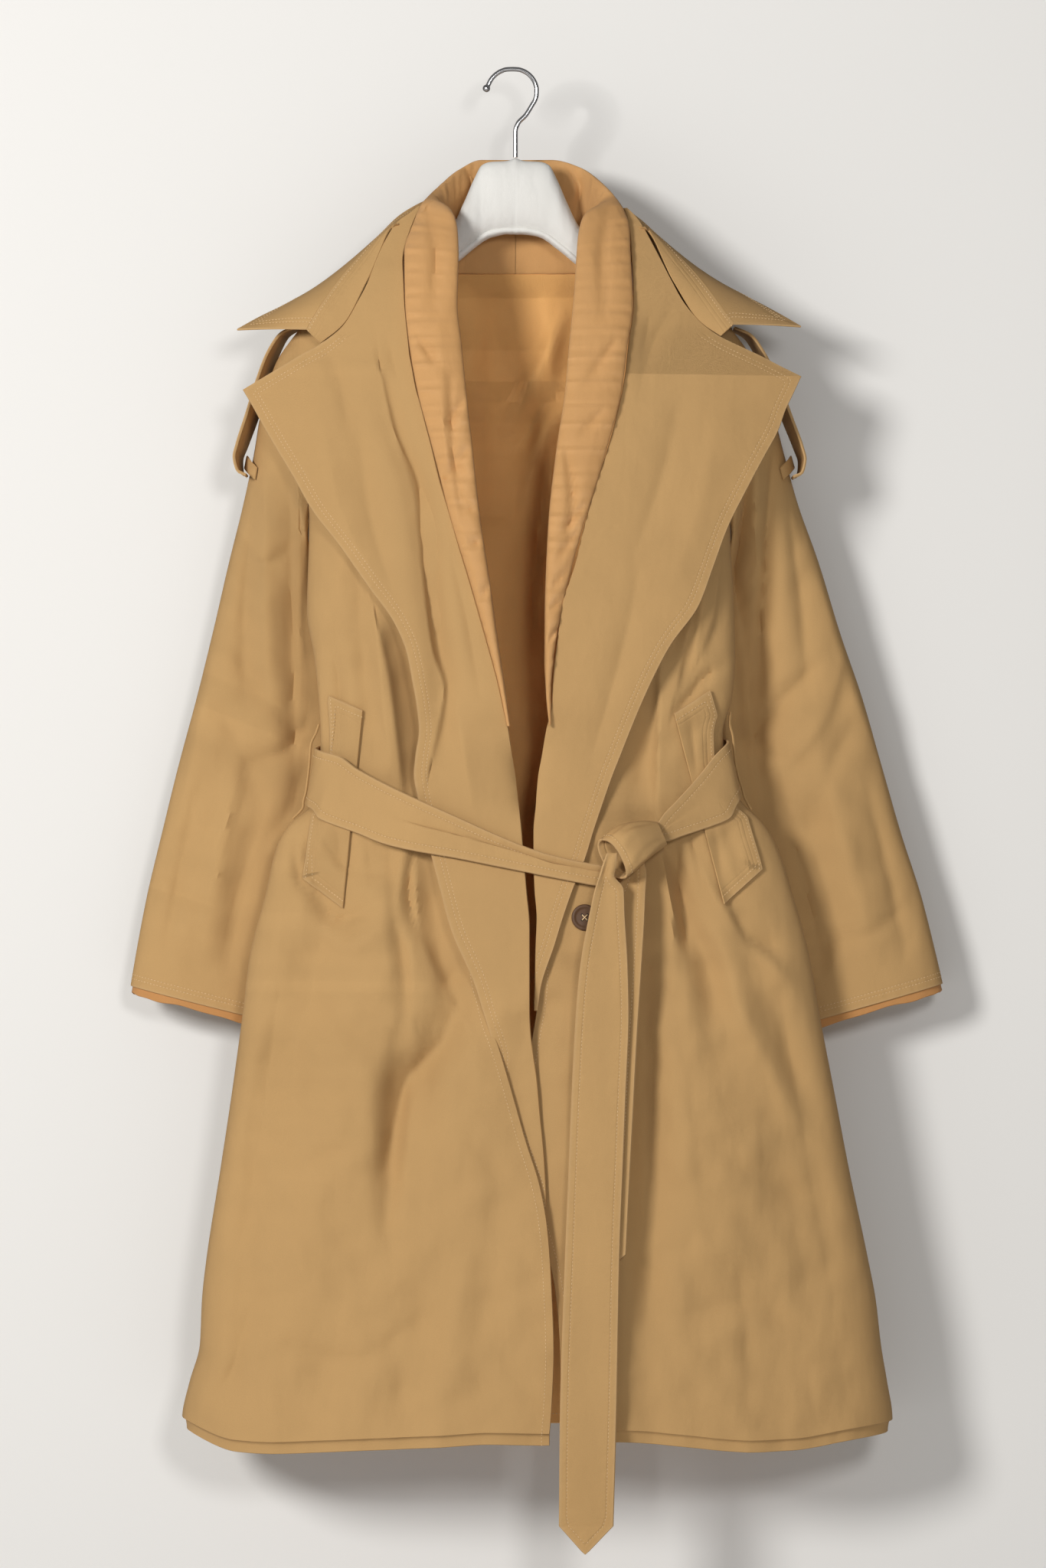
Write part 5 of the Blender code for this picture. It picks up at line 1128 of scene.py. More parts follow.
def sleeve_points(side, along, angles, shrink=0.0, beyond=0.0):
    """Points of the sleeve, from armhole (along 0) to cuff (1). Angles run round its front."""
    data = np.array(SLEEVES[side], float)
    keys, along = np.linspace(0, 1, len(data)), np.atleast_1d(along)
    place = {name: curve(keys, data[:, i])(along)[:, None]
             for i, name in enumerate(SLEEVE_NAMES.split())}
    ends = []
    for i in (0, 2):
        way = unit(data[-1, i:i + 2] - data[-2, i:i + 2])
        names = SLEEVE_NAMES.split()[i:i + 2]
        ends.append([place[name] + step * np.reshape(beyond, (-1, 1))
                     for name, step in zip(names, way)])
    (x_out, z_out), (x_in, z_in) = ends
    half_x, half_z = (x_out - x_in) / 2, (z_out - z_in) / 2
    u, v = ring_round(np.asarray(angles), SLEEVE_FULLNESS)
    size = 1 - shrink / np.hypot(half_x, half_z)
    x, z = (x_out + x_in) / 2 + u * half_x * size, (z_out + z_in) / 2 + u * half_z * size
    y = place["middle_y"] - v * (place["half_depth"] - shrink)
    if not shrink:
        pressed = folds_at(FOLDS["sleeve"], x, z) + creases_at(CREASES["sleeve"], x, z) \
            + crumple(50, x, z, CRUMPLED)
        pressed = pressed * np.clip((CUFF_FADE - along) / CUFF_FADE_OVER, CUFF_KEEPS, 1)[:, None]
        y = y + pressed * np.clip(v / 0.5, -0.7, 1)
    return point(x, y, z)


def armhole_ring(side, angles):
    """The edge of the armhole, just inside the body's cloth."""
    z = (TIP_Z + UNDERARM_Z) / 2 + (TIP_Z - UNDERARM_Z) / 2 * np.cos(angles)
    x = side_x(z, SIDE[side])
    front, back = body_y(x, z, "front", False), body_y(x, z, "back", False)
    share = 0.5 + 0.5 * np.clip(np.sin(angles) / 0.05, -1, 1)
    low = ramp(z, ARMHOLE_TURN, UNDERARM_Z)
    return point(x + SIDE[side] * (-1.2 + (1.5 + SHELL) * low), back + (front - back) * share, z)


# %% Sleeves and what shows of their lining
angles = np.linspace(0, 2 * math.pi, 96, endpoint=False)
along = np.concatenate([np.linspace(0, HEAD_LENGTH, 14)[:-1], np.linspace(HEAD_LENGTH, 1, 140)])
CUFF_INSET = (SHELL + LINING) / 2 + 0.7
for side in SIDE:
    grid = sleeve_points(side, along, angles)
    pull = (ramp(along, HEAD_LENGTH, 0) ** 2)[:, None, None]
    grid = grid + (armhole_ring(side, angles) - grid[0]) * pull
    outward = grid - grid.mean(axis=1, keepdims=True)
    piece = shell("sleeve_" + side, grid, SHELL, "gabardine sewn", "back lining painted brighter", outward,
                  wrap=True, stitched={"low": (7.0, 11.0)}, sewn=["top"])
    dress(piece, ["sleeve_front_" + side, "sleeve_back_" + side], "hung")
    reach = np.linspace(-36, 7, 24)
    grid = sleeve_points(side, np.ones(24), angles, CUFF_INSET, reach)
    wave = 0.9 * np.sin(5 * angles + 0.7) + 0.5 * np.sin(11 * angles)
    grid[..., 2] += wave * (np.linspace(0, 1, 24) ** 2)[:, None]
    outward = grid - grid.mean(axis=1, keepdims=True)
    piece = shell("cuff_lining_" + side, grid, LINING, "cuff lining", None, outward, wrap=True)
    dress(piece, ["cuff_lining_" + side], "hung")

# %% [markdown]
# ## Straps, loops and pocket welts
# These are small folded bands, edge stitched and sewn on last. The shoulder strap bows away
# from the sleeve head and curls back under its keeper. A welt is the visible lip of a pocket,
# made here from the front's own points moved out, so it follows every fold below it.

# %% Shoulder straps and their keepers
STRAP_WIDTH, STRAP_CLOTH, STRAP_Y = 42.0, 2.6, 10.0
STRAP_TWIST = {"right": 5.0, "left": 3.5}
STRAPS = {
    "right": [(-209.5, -246.0), (-221.5, -252), (-233, -270), (-244, -300), (-254, -332),
              (-263, -358), (-267, -372), (-265, -384), (-259, -388)],
    "left": [(210.5, -247.3), (223.5, -254), (236, -272), (250, -302), (262, -334), (272, -360),
             (276, -374), (274, -386), (267, -390)]}
KEEPER_ALONG, KEEPER_REACH, KEEPER_STAND = (0.248, 0.270), math.radians(40), 4.0

for side in SIDE:
    outward = np.array([SIDE[side], 0.0, 0.3])
    place = stations("x z", STRAPS[side], 60)
    across = np.linspace(-1, 1, 17)
    twist = STRAP_TWIST[side] * np.sin(math.pi * np.linspace(0, 1, 60) ** 0.8)[:, None]
    grid = point(place["x"][:, None] - SIDE[side] * twist * across,
                 STRAP_Y + STRAP_WIDTH / 2 * across, place["z"][:, None])
    piece = shell("epaulette_" + side, grid, STRAP_CLOTH, "gabardine belt", None, outward,
                  stitched={"first": (6.0,), "last": (6.0,)})
    dress(piece, ["epaulette_" + side], "folded")
    turn = np.linspace(-1, 1, 33)
    along = np.linspace(*KEEPER_ALONG, 7)
    here = sleeve_points(side, along, turn * KEEPER_REACH)
    way = sleeve_points(side, along, turn * KEEPER_REACH + 0.02) - here
    out = unit(point(SIDE[side] * np.abs(way[..., 1]),
                     -np.sign(turn + 1e-9) * np.abs(way[..., 0]), 0.0))
    stand = (SHELL + LAPEL_CLOTH) / 2 + 0.9 + KEEPER_STAND * (1 - turn ** 4)
    piece = shell("epaulette_loop_" + side, here + out * stand[:, None], LAPEL_CLOTH, "gabardine",
                  None, outward)
    dress(piece, ["epaulette_loop_" + side], "stretched")

# %% Pocket welts: upper outer, upper inner, lower inner and lower outer corners
WELTS = {"right": [(-178, -601), (-146, -615), (-165, -803), (-203, -775)],
         "left": [(186, -596), (152, -618), (199, -799), (236, -766)]}
WELT_LIFT, WELT_FROM_SIDE = (SHELL + LAPEL_CLOTH) / 2 + 2.0, 9.0

for side in SIDE:
    outer_top, inner_top, inner_low, outer_low = np.array(WELTS[side], float)
    t = np.linspace(0, 1, 64)[:, None]
    outer, inner = outer_top + (outer_low - outer_top) * t, inner_top + (inner_low - inner_top) * t
    widest = np.abs(side_x(outer[:, 1], SIDE[side])) - WELT_FROM_SIDE
    outer[:, 0] = SIDE[side] * np.minimum(np.abs(outer[:, 0]), widest)
    share = np.linspace(0, 1, 15)[:, None]
    x, z = (outer[:, None] + (inner - outer)[:, None] * share).transpose(2, 0, 1)
    grid = point(x, front_y(x, z, side) - SEAM / 2 - WELT_LIFT, z)
    piece = shell("pocket_welt_" + side, grid, LAPEL_CLOTH, "gabardine sewn", None, FRONT,
                  stitched={"low": (6.0,), "first": (2.5,), "top": (6.0,)})
    dress(piece, ["pocket_welt_" + side], "laid")

# %% Loops over the belt at the side seams: level, and how far each stands off
LOOP_WIDTH, LOOP_Y = 9.0, -14.0
BELT_LOOPS = {
    "right": [(-628, 2.2), (-636, 5.0), (-648, 10.0), (-675, 11.5), (-698, 11.0), (-709, 7.0),
              (-718, 3.8)],
    "left": [(-616, 3.2), (-627, 6.0), (-640, 10.5), (-665, 11.5), (-688, 11.0), (-700, 7.0),
             (-709, 4.0)]}
for side in SIDE:
    place = stations("z stand", BELT_LOOPS[side], 48)
    x = side_x(place["z"], SIDE[side]) + SIDE[side] * place["stand"]
    y = LOOP_Y + np.linspace(-LOOP_WIDTH / 2, LOOP_WIDTH / 2, 7)
    piece = shell("belt_loop_" + side, point(x[:, None], y, place["z"][:, None]), LAPEL_CLOTH,
                  "gabardine", None, np.array([SIDE[side], 0.0, 0.0]))
    dress(piece, ["belt_loop_" + side], "stretched")


# %% [markdown]
# ## The belt and its knot
# The belt goes round the coat once, crosses over itself in front and is drawn through. Pulled
# tight, its cloth folds over lengthwise, so a front strand lies on an upper one as it nears
# the knot. A rope-like sweep would lose that, so the belt's section is a curve that doubles
# back on itself more and more. The knot is a short flat tube whose mouth turns to the front.

# %% Belt tables
BELT_FROM_KNOT = [(128, -725, 134, -741, -71), (135.5, -724, 142, -739, -66),
                  (141, -714, 149, -738, -62), (152, -705, 158, -733, -57)]
BELT_TO_KNOT = [
    (-157, -668, -155, -729, -52), (-127, -684, -126, -741, -60), (-96, -699, -96, -748, -67),
    (-60, -715, -60, -754, -71), (-20, -733, -20, -762, -72), (20, -749, 20, -770, -72),
    (55, -758, 55, -777, -70.5), (76, -762, 77, -781, -69.5), (97, -765, 98, -783, -69.5)]
BELT_HUG = [(-34, -680, -722, 8.0), (-18, -655, -704, 8.0), (-6, -646, -696, 6.5),
            (6, -642, -692, 4.5), (30, -641, -691, 4.0), (90, -644, -694, 4.0),
            (150, -646, -697, 4.0), (174, -650, -702, 4.5), (186, -652, -705, 6.5),
            (198, -655, -709, 9.0), (212, -660, -720, 10.0)]


def section_place(turn, z, stand):
    """Points round the body's section, some way off its cloth. turn is in degrees."""
    def place(degrees):
        c, s = np.cos(np.radians(degrees)), np.sin(np.radians(degrees))
        side = np.where(c > 0, side_x(z, 1.0), side_x(z, -1.0))
        crest = np.where(s > 0, DEPTH["back"](z), DEPTH["front"](z))
        y = DEPTH["seam"](z) + (crest - DEPTH["seam"](z)) * np.abs(s) ** (2 / ROUND)
        return point(side * np.abs(c) ** (2 / ROUND), y, z)
    way = place(turn + 1.5) - place(turn - 1.5)
    return place(turn) + unit(point(way[:, 1], -way[:, 0], 0.0)) * np.reshape(stand, (-1, 1))


BELT_STEPS, BELT_AXIS = (14, 120, 80), (0.0, -12.0, -690.0)
FIRST_FOLDED, SMOOTHED = 0.35, 6         # how far it is folded as it leaves the knot
DOUBLED, FOLD_HEIGHT = 2.3, 4.6          # how far it runs back on itself, and stands forward


def belt_edges():
    """Upper and lower edges along the whole belt, and how far its cloth has folded over."""
    names = "x_top z_top x_low z_low y"
    first, last = [stations(names, rows, count) for rows, count in
                   ((BELT_FROM_KNOT, BELT_STEPS[0]), (BELT_TO_KNOT, BELT_STEPS[2]))]
    hug = stations("turn top low stand", BELT_HUG, BELT_STEPS[1])
    lines = [np.concatenate([point(first["x_" + edge], first["y"], first["z_" + edge]),
                             section_place(hug["turn"], hug[edge], hug["stand"]),
                             point(last["x_" + edge], last["y"], last["z_" + edge])])
             for edge in ("top", "low")]
    lines.append(np.concatenate([np.full(BELT_STEPS[0], FIRST_FOLDED), np.zeros(BELT_STEPS[1]),
                                 np.clip(np.linspace(-0.1, 1.9, BELT_STEPS[2]), 0, 1)]))
    result = []
    for line in lines:
        for _ in range(SMOOTHED):
            padded = np.concatenate([line[:1], line, line[-1:]])
            line = 0.25 * padded[:-2] + 0.5 * padded[1:-1] + 0.25 * padded[2:]
        result.append(line)
    return result


# %% Belt
top, low, folded = belt_edges()
v = np.linspace(0, 1, 33)
down = v + DOUBLED * folded[:, None] * np.sin(2 * math.pi * v) / (2 * math.pi)
grid = top[:, None] + (low - top)[:, None] * down[..., None]
out = grid_normals(grid[:, ::16])[:, :1]
from_axis = grid.mean(axis=1, keepdims=True) - BELT_AXIS
out *= np.sign((out * from_axis).sum(-1, keepdims=True))
run = np.pad(np.cumsum(np.linalg.norm(np.diff(top, axis=0), axis=1)), (1, 0))[:, None]
step = ramp(v, 0.30, 0.70)
forward = FOLD_HEIGHT * folded[:, None] * (step * step * (3 - 2 * step) - 0.5)
ripple = 0.5 * np.sin(run / 17.0 + 4 * v) + 0.4 * np.sin(run / 7.3 - 3 * v)
grid = grid + out * (forward + ripple * np.sin(math.pi * v))[..., None]
piece = shell("belt_waist", grid, BELT_CLOTH, "gabardine belt", None, out,
              stitched={"first": (6.5,), "last": (6.5,)})
dress(piece, ["belt_waist"], "stretched")

# %% Knot: the middle of each ring, its half height and half depth
KNOT = [(139, -66, -732, 11, 8), (128, -73, -735, 15, 11), (114, -80, -741, 19, 13),
        (102, -84, -749, 20.5, 13), (92, -85, -756, 20, 13)]
KNOT_SLANT, MOUTH_TURN = math.radians(25), math.radians(46)

place = stations("x y z half_height half_depth", KNOT, 60)
t = np.linspace(0, 1, 60)
angles = np.linspace(0, 2 * math.pi, 72, endpoint=False)
u, v = ring_round(angles, 2.4)
up = np.array([-math.sin(KNOT_SLANT), 0.0, math.cos(KNOT_SLANT)])
turn = MOUTH_TURN * t ** 2
out = point(np.sin(turn), -np.cos(turn), 0.0)
uneven = 1 + 0.05 * np.sin(math.pi * t)[:, None] * (np.sin(5 * angles + 5 * t[:, None])
                                                  + 0.7 * np.sin(9 * angles - 3 * t[:, None]))
middle = point(place["x"], place["y"], place["z"])
grid = middle[:, None] + (u * uneven)[..., None] * (place["half_height"][:, None] * up)[:, None] \
    + (v * uneven)[..., None] * (place["half_depth"][:, None] * out)[:, None]
piece = shell("belt_knot", grid, BELT_CLOTH, "gabardine belt", None, grid - middle[:, None],
              wrap=True, stitched={"low": (5.0,)})
dress(piece, ["belt_knot"], "folded")

# %% Tails: level, both edges and how far forward, then each tail's point
TAILS = {
    "long": [(-751, 87, 96, -94.6), (-762, 83, 95, -93), (-772, 80, 93, -91),
             (-785, 76, 102, -91), (-808, 71, 103, -92), (-859, 62, 106, -92),
             (-904, 58, 107, -92), (-979, 54, 104, -94), (-1053, 51, 101, -97),
             (-1128, 48, 98, -100), (-1278, 43, 95, -104), (-1386, 42, 92, -105)],
    "short": [(-754, 104, 120, -67.2), (-770, 103, 124, -69), (-785, 98, 123, -74),
              (-810, 88, 122, -80), (-860, 82, 119, -83), (-921, 74, 115, -86),
              (-996, 64, 111, -89), (-1070, 58, 107, -92), (-1130, 55, 104, -95)]}
TAIL_POINT = {"long": (66, -1413), "short": (80, -1150)}
CURL_STARTS = 15.0                       # a tail leaves the knot flat, and curls from here on

for name, rows in TAILS.items():
    p = stations("z x_left x_right y", rows, 130)
    v, z = np.linspace(0, 1, 21), p["z"][:, None]
    near_knot = np.exp((z - p["z"][0]) / 45)
    curl = (1.6 * near_knot + 0.5) * np.sin(2 * math.pi * v + z / 60) \
        + 1.2 * np.sin(z / 75) * (v - 0.5)
    x = p["x_left"][:, None] + (p["x_right"] - p["x_left"])[:, None] * v
    grid = point(x, p["y"][:, None] + curl * ramp(z, p["z"][0], p["z"][0] - CURL_STARTS), z)
    tip = np.array([TAIL_POINT[name][0], grid[-1, :, 1].mean(), TAIL_POINT[name][1]])
    ends = [grid[-1] + (tip - grid[-1]) * share for share in np.linspace(0.08, 0.97, 12)]
    grid = np.concatenate([grid, ends])
    piece = shell("belt_tail_" + name, grid, BELT_CLOTH, "gabardine belt", None, FRONT,
                  stitched={"first": (6.5,), "last": (6.5,)})
    dress(piece, ["belt_tail_" + name], "hung")

# %% [markdown]
# ## Hanger, hook and button
# The hanger is a shaped wooden bar under a white cloth cover, which is gathered along its
# lower edge. The hook is one bent wire with a small ball on its end. The button is turned
# from horn, with a rim and a sunk face, and sewn on with crossed thread. Its four holes are
# dark discs on the face: painted shade.

# %% Hanger
HANGER = [(0, -83, -153, 15), (8, -86, -153, 15), (24, -87, -156, 15), (32, -90, -160, 15),
          (40, -104, -166, 15), (50, -127, -174, 13), (62, -150, -184, 11), (90, -170, -200, 9),
          (130, -193.3, -224, 7), (160, -204.5, -234, 6), (185, -227.3, -250, 5),
          (198, -239.5, -254, 4), (203, -246.3, -254, 2.5)]
half = stations("x top low half", HANGER, 100)
half = {name: np.concatenate([values[:0:-1] * (-1 if name == "x" else 1), values])
        for name, values in half.items()}
u, v = ring_round(np.linspace(0, 2 * math.pi, 40, endpoint=False), 2.2)
x, middle = half["x"][:, None], ((half["top"] + half["low"]) / 2)[:, None]
tall = ((half["top"] - half["low"]) / 2)[:, None]
gathered = 1 + 0.012 * np.sin(x / 1.6 + 2 * np.sin(x / 7)) * np.clip(-u, 0, 1) ** 2
rings = point(x + 0 * u, v * half["half"][:, None] * gathered, middle + u * tall)
piece = solid_loft("hanger_body", rings, "hanger cover")
dress(piece, ["hanger_body"])

x = np.linspace(-112, 112, 240)
low = np.interp(x, half["x"], half["low"])
way = unit(np.gradient(point(x, 0.0, low), axis=0))
size = 3.8 * (1 + 0.02 * np.sin(x / 1.6 + 2 * np.sin(x / 5)) + 0.03 * np.sin(x / 5.3))
angles = np.linspace(0, 2 * math.pi, 20, endpoint=False)
across = np.cross(way, FRONT)
rings = point(x, 0.0, low)[:, None] + size[:, None, None] * (
    np.cos(angles)[:, None] * across[:, None] + 2.2 * np.sin(angles)[:, None] * FRONT)
piece = solid_loft("hanger_piping", rings, "hanger cover")
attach(piece, "root")

# %% Hook
HOOK_WIRE, HOOK_BEND, BALL, BALL_LENGTH = 2.2, 21.5, 3.6, 6.6
turn = np.radians(-38 + 205 * np.arange(15) / 14)
radius = HOOK_BEND + np.clip(4.5 * (np.arange(15) - 9) / 5, 0, None)
route = np.concatenate([
    [(0.0, -82.7), (0.0, -70.0), (0.0, -58.0), (2.5, -50.0), (10.0, -42.0)],
    np.column_stack([-1.0 + radius * np.cos(turn), HOOK_WIRE - HOOK_BEND + radius * np.sin(turn)])])
places = np.linspace(0, len(route) - 1, 140)
x, z = [curve(range(len(route)), column)(places) for column in route.T]
route = point(x, 0.0, z)
end = unit(route[-1] - route[-2])
beyond = np.linspace(0, BALL_LENGTH, 12)
ball = BALL * np.sqrt(np.clip(1 - ((beyond - BALL_LENGTH / 2) / BALL) ** 2, 0.02, 1))
ball[0] = HOOK_WIRE
size = np.concatenate([np.full(len(route) - 1, HOOK_WIRE), ball])
route = np.concatenate([route[:-1], route[-1] + end * beyond[:, None]])
way = unit(np.gradient(route, axis=0))
angles = np.linspace(0, 2 * math.pi, 24, endpoint=False)
rings = route[:, None] + size[:, None, None] * (
    np.cos(angles)[:, None] * np.cross(way, FRONT)[:, None] + np.sin(angles)[:, None] * FRONT)
piece = solid_loft("hanger_hook", rings, "polished steel", sharp=60)
dress(piece, ["hanger_hook"])

# %% Button, its holes painted as dark discs of shade, and crossed thread
BUTTON_AT, BUTTON_STANDS = (66.0, -812.0), 0.5
BUTTON_RINGS = ((0.0, 9.0), (0.1, 11.2), (0.8, 12.5), (1.8, 12.6), (2.6, 12.4), (3.3, 11.6),
                (3.45, 10.8), (3.2, 9.4), (2.6, 8.7), (2.45, 7.6), (2.4, 3.0))
HOLE, HOLE_OUT, THREAD = 1.25, 2.5, 0.55
x, z = BUTTON_AT
step = 4.0                               # the cloth's slope is measured over this length
y = float(front_y(x, z, "left"))
slope = [float(front_y(*at, "left") - y) / step for at in ((x + step, z), (x, z + step))]
out = unit(np.array([slope[0], -1.0, slope[1]]))
across = unit(np.cross(out, (0.0, 0.0, 1.0)))
up = np.cross(across, out)
base = np.array([x, y - SEAM / 2, z]) + out * (SHELL / 2 + BUTTON_STANDS)
angles = np.linspace(0, 2 * math.pi, 56, endpoint=False)
disc = np.cos(angles)[:, None] * across + np.sin(angles)[:, None] * up
parts = [solid_loft("button_waist", [base + out * height + disc * radius
                                     for height, radius in BUTTON_RINGS], "dark horn")]
corners = [HOLE_OUT * (i * across + j * up) for i in (-1, 1) for j in (-1, 1)]
# Each hole is a dark disc on the button's face: painted shade, not an opening.
for corner in corners:
    rings = [base + out * height + corner + disc[::4] * HOLE for height in (2.0, 2.48)]
    parts.append(solid_loft("hole", rings, "painted hole shade"))
for a, b, lift in ((corners[0], corners[3], 0.0), (corners[1], corners[2], 0.35)):
    t = np.linspace(0, 1, 14)
    line = a + (b - a) * t[:, None] + base + out * (2.4 + lift + 0.9 * np.sin(math.pi * t))[:, None]
    way = unit(np.gradient(line, axis=0))
    beside = unit(np.cross(way, out))
    rings = line[:, None] + THREAD * (
        np.cos(angles[::7])[:, None] * beside[:, None]
        + np.sin(angles[::7])[:, None] * np.cross(beside, way)[:, None])
    parts.append(solid_loft("cross thread", rings, "thread"))
with bpy.context.temp_override(active_object=parts[0], selected_editable_objects=parts):
    bpy.ops.object.join()
dress(parts[0], ["button_waist"])

# %% [markdown]
# ## Rows of stitches
# A sewing machine leaves a row of short raised stitches, all the same length. Thousands of
# them would be tedious to place, and this is what Geometry Nodes are for: each line found on
# the cloth is resampled at the stitch length, and one small stitch is set on every point,
# turned along the line and away from the cloth.

# %% The node tree that sews
STITCH_LENGTH, STITCH_SIZE = 3.4, (1.2, 0.46, 0.36)
STITCH_STANDS, STITCH_UNEVEN = 0.10, 0.25

bpy.ops.mesh.primitive_ico_sphere_add(subdivisions=1, radius=MM)
one_stitch = bpy.context.object
one_stitch.data.transform(Matrix.Diagonal((*STITCH_SIZE, 1.0)))
one_stitch.data.shade_smooth()

SEWING = bpy.data.node_groups.new("Row of stitches", "GeometryNodeTree")
SEWING.is_modifier = True
sockets = {}
for label, kind, way in (("Lines", "Geometry", "INPUT"), ("Stitch length", "Float", "INPUT"),
                         ("Unevenness", "Float", "INPUT"), ("Seed", "Int", "INPUT"),
                         ("Stitch", "Object", "INPUT"), ("Thread", "Material", "INPUT"),
                         ("Stitches", "Geometry", "OUTPUT")):
    sockets[label] = SEWING.interface.new_socket(label, in_out=way, socket_type="NodeSocket" + kind)
given = SEWING.nodes.new("NodeGroupInput").outputs
curves = put(SEWING, "GeometryNodeMeshToCurve", Mesh=given["Lines"])
spaced = put(SEWING, "GeometryNodeResampleCurve", {"mode": "LENGTH"}, Curve=curves.outputs[0],
             Length=given["Stitch length"])
out_of_cloth = put(SEWING, "GeometryNodeInputNamedAttribute", {"data_type": "FLOAT_VECTOR"},
                   Name="up")
along_line = SEWING.nodes.new("GeometryNodeInputTangent")
turned = SEWING.nodes.new("FunctionNodeAxesToRotation")
turned.primary_axis, turned.secondary_axis = "X", "Z"
SEWING.links.new(along_line.outputs[0], turned.inputs[0])
SEWING.links.new(out_of_cloth.outputs[0], turned.inputs[1])
lengths = put(SEWING, "FunctionNodeRandomValue", {"data_type": "FLOAT"}, Seed=given["Seed"])
low = put(SEWING, "ShaderNodeMath", {"operation": "SUBTRACT"})
low.inputs[0].default_value = 1.0
SEWING.links.new(given["Unevenness"], low.inputs[1])
SEWING.links.new(low.outputs[0], lengths.inputs[2])
info = put(SEWING, "GeometryNodeObjectInfo", Object=given["Stitch"])
placed = put(SEWING, "GeometryNodeInstanceOnPoints", Points=spaced.outputs[0],
             Instance=info.outputs["Geometry"], Rotation=turned.outputs[0],
             Scale=lengths.outputs[1])
real = put(SEWING, "GeometryNodeRealizeInstances", Geometry=placed.outputs[0])
coloured = put(SEWING, "GeometryNodeSetMaterial", Geometry=real.outputs[0],
               Material=given["Thread"])
SEWING.links.new(coloured.outputs[0], SEWING.nodes.new("NodeGroupOutput").inputs[0])


# %% Sew every line
def sew(name, lines, seed):
    """One mesh of stitches along lines of points with their directions out of the cloth."""
    points, ups, edges = [], [], []
    for line in lines:
        first = len(points)
        points += (line[:, :3] + STITCH_STANDS * line[:, 3:]).tolist()
        ups += line[:, 3:].tolist()
        edges += [(first + i, first + i + 1) for i in range(len(line) - 1)]
    mesh = bpy.data.meshes.new(name)
    mesh.from_pydata((np.array(points) * MM).tolist(), edges, [])
    mesh.attributes.new("up", "FLOAT_VECTOR", "POINT").data.foreach_set("vector", np.ravel(ups))
    rail = add_object(name, mesh)
    modifier = rail.modifiers.new("Sewing", "NODES")
    modifier.node_group = SEWING
    for label, value in (("Stitch length", STITCH_LENGTH * MM), ("Unevenness", STITCH_UNEVEN),
                         ("Seed", seed), ("Stitch", one_stitch),
                         ("Thread", bpy.data.materials["thread"])):
        modifier[sockets[label].identifier] = value
    evaluated = rail.evaluated_get(bpy.context.evaluated_depsgraph_get())
    sewn = bpy.data.meshes.new_from_object(evaluated)
    rail.modifiers.clear()
    rail.data = sewn
    print(name, "stitches:", len(sewn.polygons) // 20)
    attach(rail, "root")


for number, (name, lines) in enumerate(STITCH_LINES.items()):
    sew("stitches_" + name, lines, number)
bpy.data.objects.remove(one_stitch)

# %% [markdown]
# ## The studio
# The coat hangs in front of a pale wall. A soft key lamp stands high on the left, a weaker
# one in front opens the shadows, and a white room adds a faint glow. From behind, the
# wall is see-through, so the coat's back can be looked at too. A long lens keeps the outline
# flat and true. From here on, lengths are in metres.

# %% Wall, floor, lamps and camera
WALL_Y, FLOOR_Z = 0.094, -1.75
ROOM_COLOUR, ROOM_GLOW = (1.0, 0.985, 0.965, 1.0), 0.17
CAMERA_X, CAMERA_Y, CAMERA_Z, LENS = 0.0073, -6.05, -0.685, 144.5


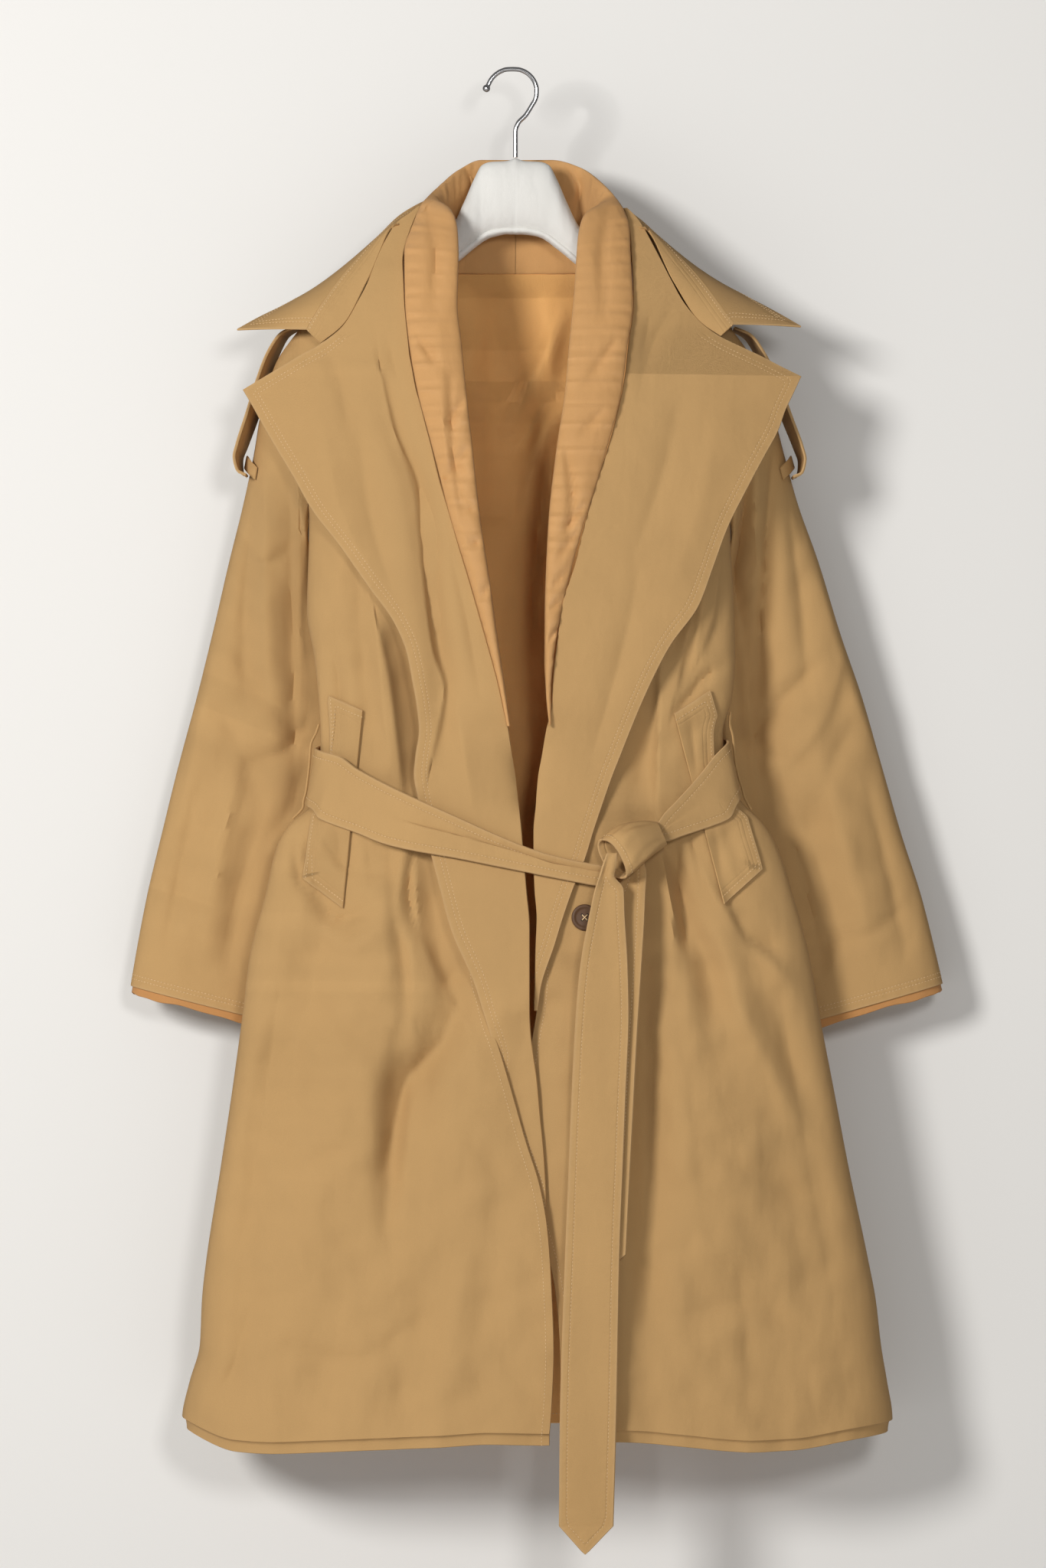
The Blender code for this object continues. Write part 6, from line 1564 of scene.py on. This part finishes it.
def staged_plane(name, corners, colour, one_sided):
    """A plain surface. A one-sided one can't be seen from behind and casts no light or shade."""
    mesh = bpy.data.meshes.new(name)
    mesh.from_pydata(corners, [], [(0, 1, 2, 3)])
    material, tree, shader = principled(name, Base_Color=(*colour, 1.0), Roughness=0.95,
                                        Specular_IOR_Level=0.0)
    mesh.materials.append(material)
    plane = add_object(name, mesh)
    if one_sided:
        behind = put(tree, "ShaderNodeNewGeometry").outputs["Backfacing"]
        mix = put(tree, "ShaderNodeMixShader", Fac=behind)
        tree.links.new(shader.outputs[0], mix.inputs[1])
        tree.links.new(put(tree, "ShaderNodeBsdfTransparent").outputs[0], mix.inputs[2])
        tree.links.new(mix.outputs[0], tree.nodes["Material Output"].inputs[0])
        plane.visible_shadow = plane.visible_diffuse = plane.visible_glossy = False


staged_plane("wall", [(-6, WALL_Y, FLOOR_Z), (6, WALL_Y, FLOOR_Z), (6, WALL_Y, 4),
                      (-6, WALL_Y, 4)], (0.80, 0.79, 0.77), True)
staged_plane("floor", [(-6, -8, FLOOR_Z), (6, -8, FLOOR_Z), (6, 6, FLOOR_Z), (-6, 6, FLOOR_Z)],
             (0.82, 0.81, 0.80), False)


def aim(thing, target):
    """Turn a lamp or camera to look at a point."""
    way = Vector(target) - thing.location
    thing.rotation_euler = way.to_track_quat("-Z", "Y").to_euler()


def soft_lamp(name, place, target, width, power, colour):
    light = bpy.data.lights.new(name, "AREA")
    light.shape, light.size, light.energy, light.color = "DISK", width, power, colour
    lamp = add_object(name, light)
    lamp.location = place
    aim(lamp, target)


soft_lamp("key lamp", (-2.45, -3.55, 0.5), (0.0, 0.0, -0.3), 1.1, 135.0, (1.0, 0.99, 0.97))
soft_lamp("front lamp", (0.9, -4.7, 0.3), (0.0, 0.0, -0.5), 0.8, 50.0, (1.0, 0.99, 0.98))

world = bpy.data.worlds.new("white room")
world.use_nodes = True
for socket, value in zip(world.node_tree.nodes["Background"].inputs, (ROOM_COLOUR, ROOM_GLOW)):
    socket.default_value = value
bpy.context.scene.world = world
bpy.context.scene.view_settings.view_transform = "Standard"      # colours as a camera shows them

camera_data = bpy.data.cameras.new("camera")
camera_data.sensor_width, camera_data.lens = 36.0, LENS
camera = add_object("camera", camera_data)
camera.location = (CAMERA_X, CAMERA_Y, CAMERA_Z)
aim(camera, (CAMERA_X, 0.0, CAMERA_Z))
bpy.context.scene.camera = camera
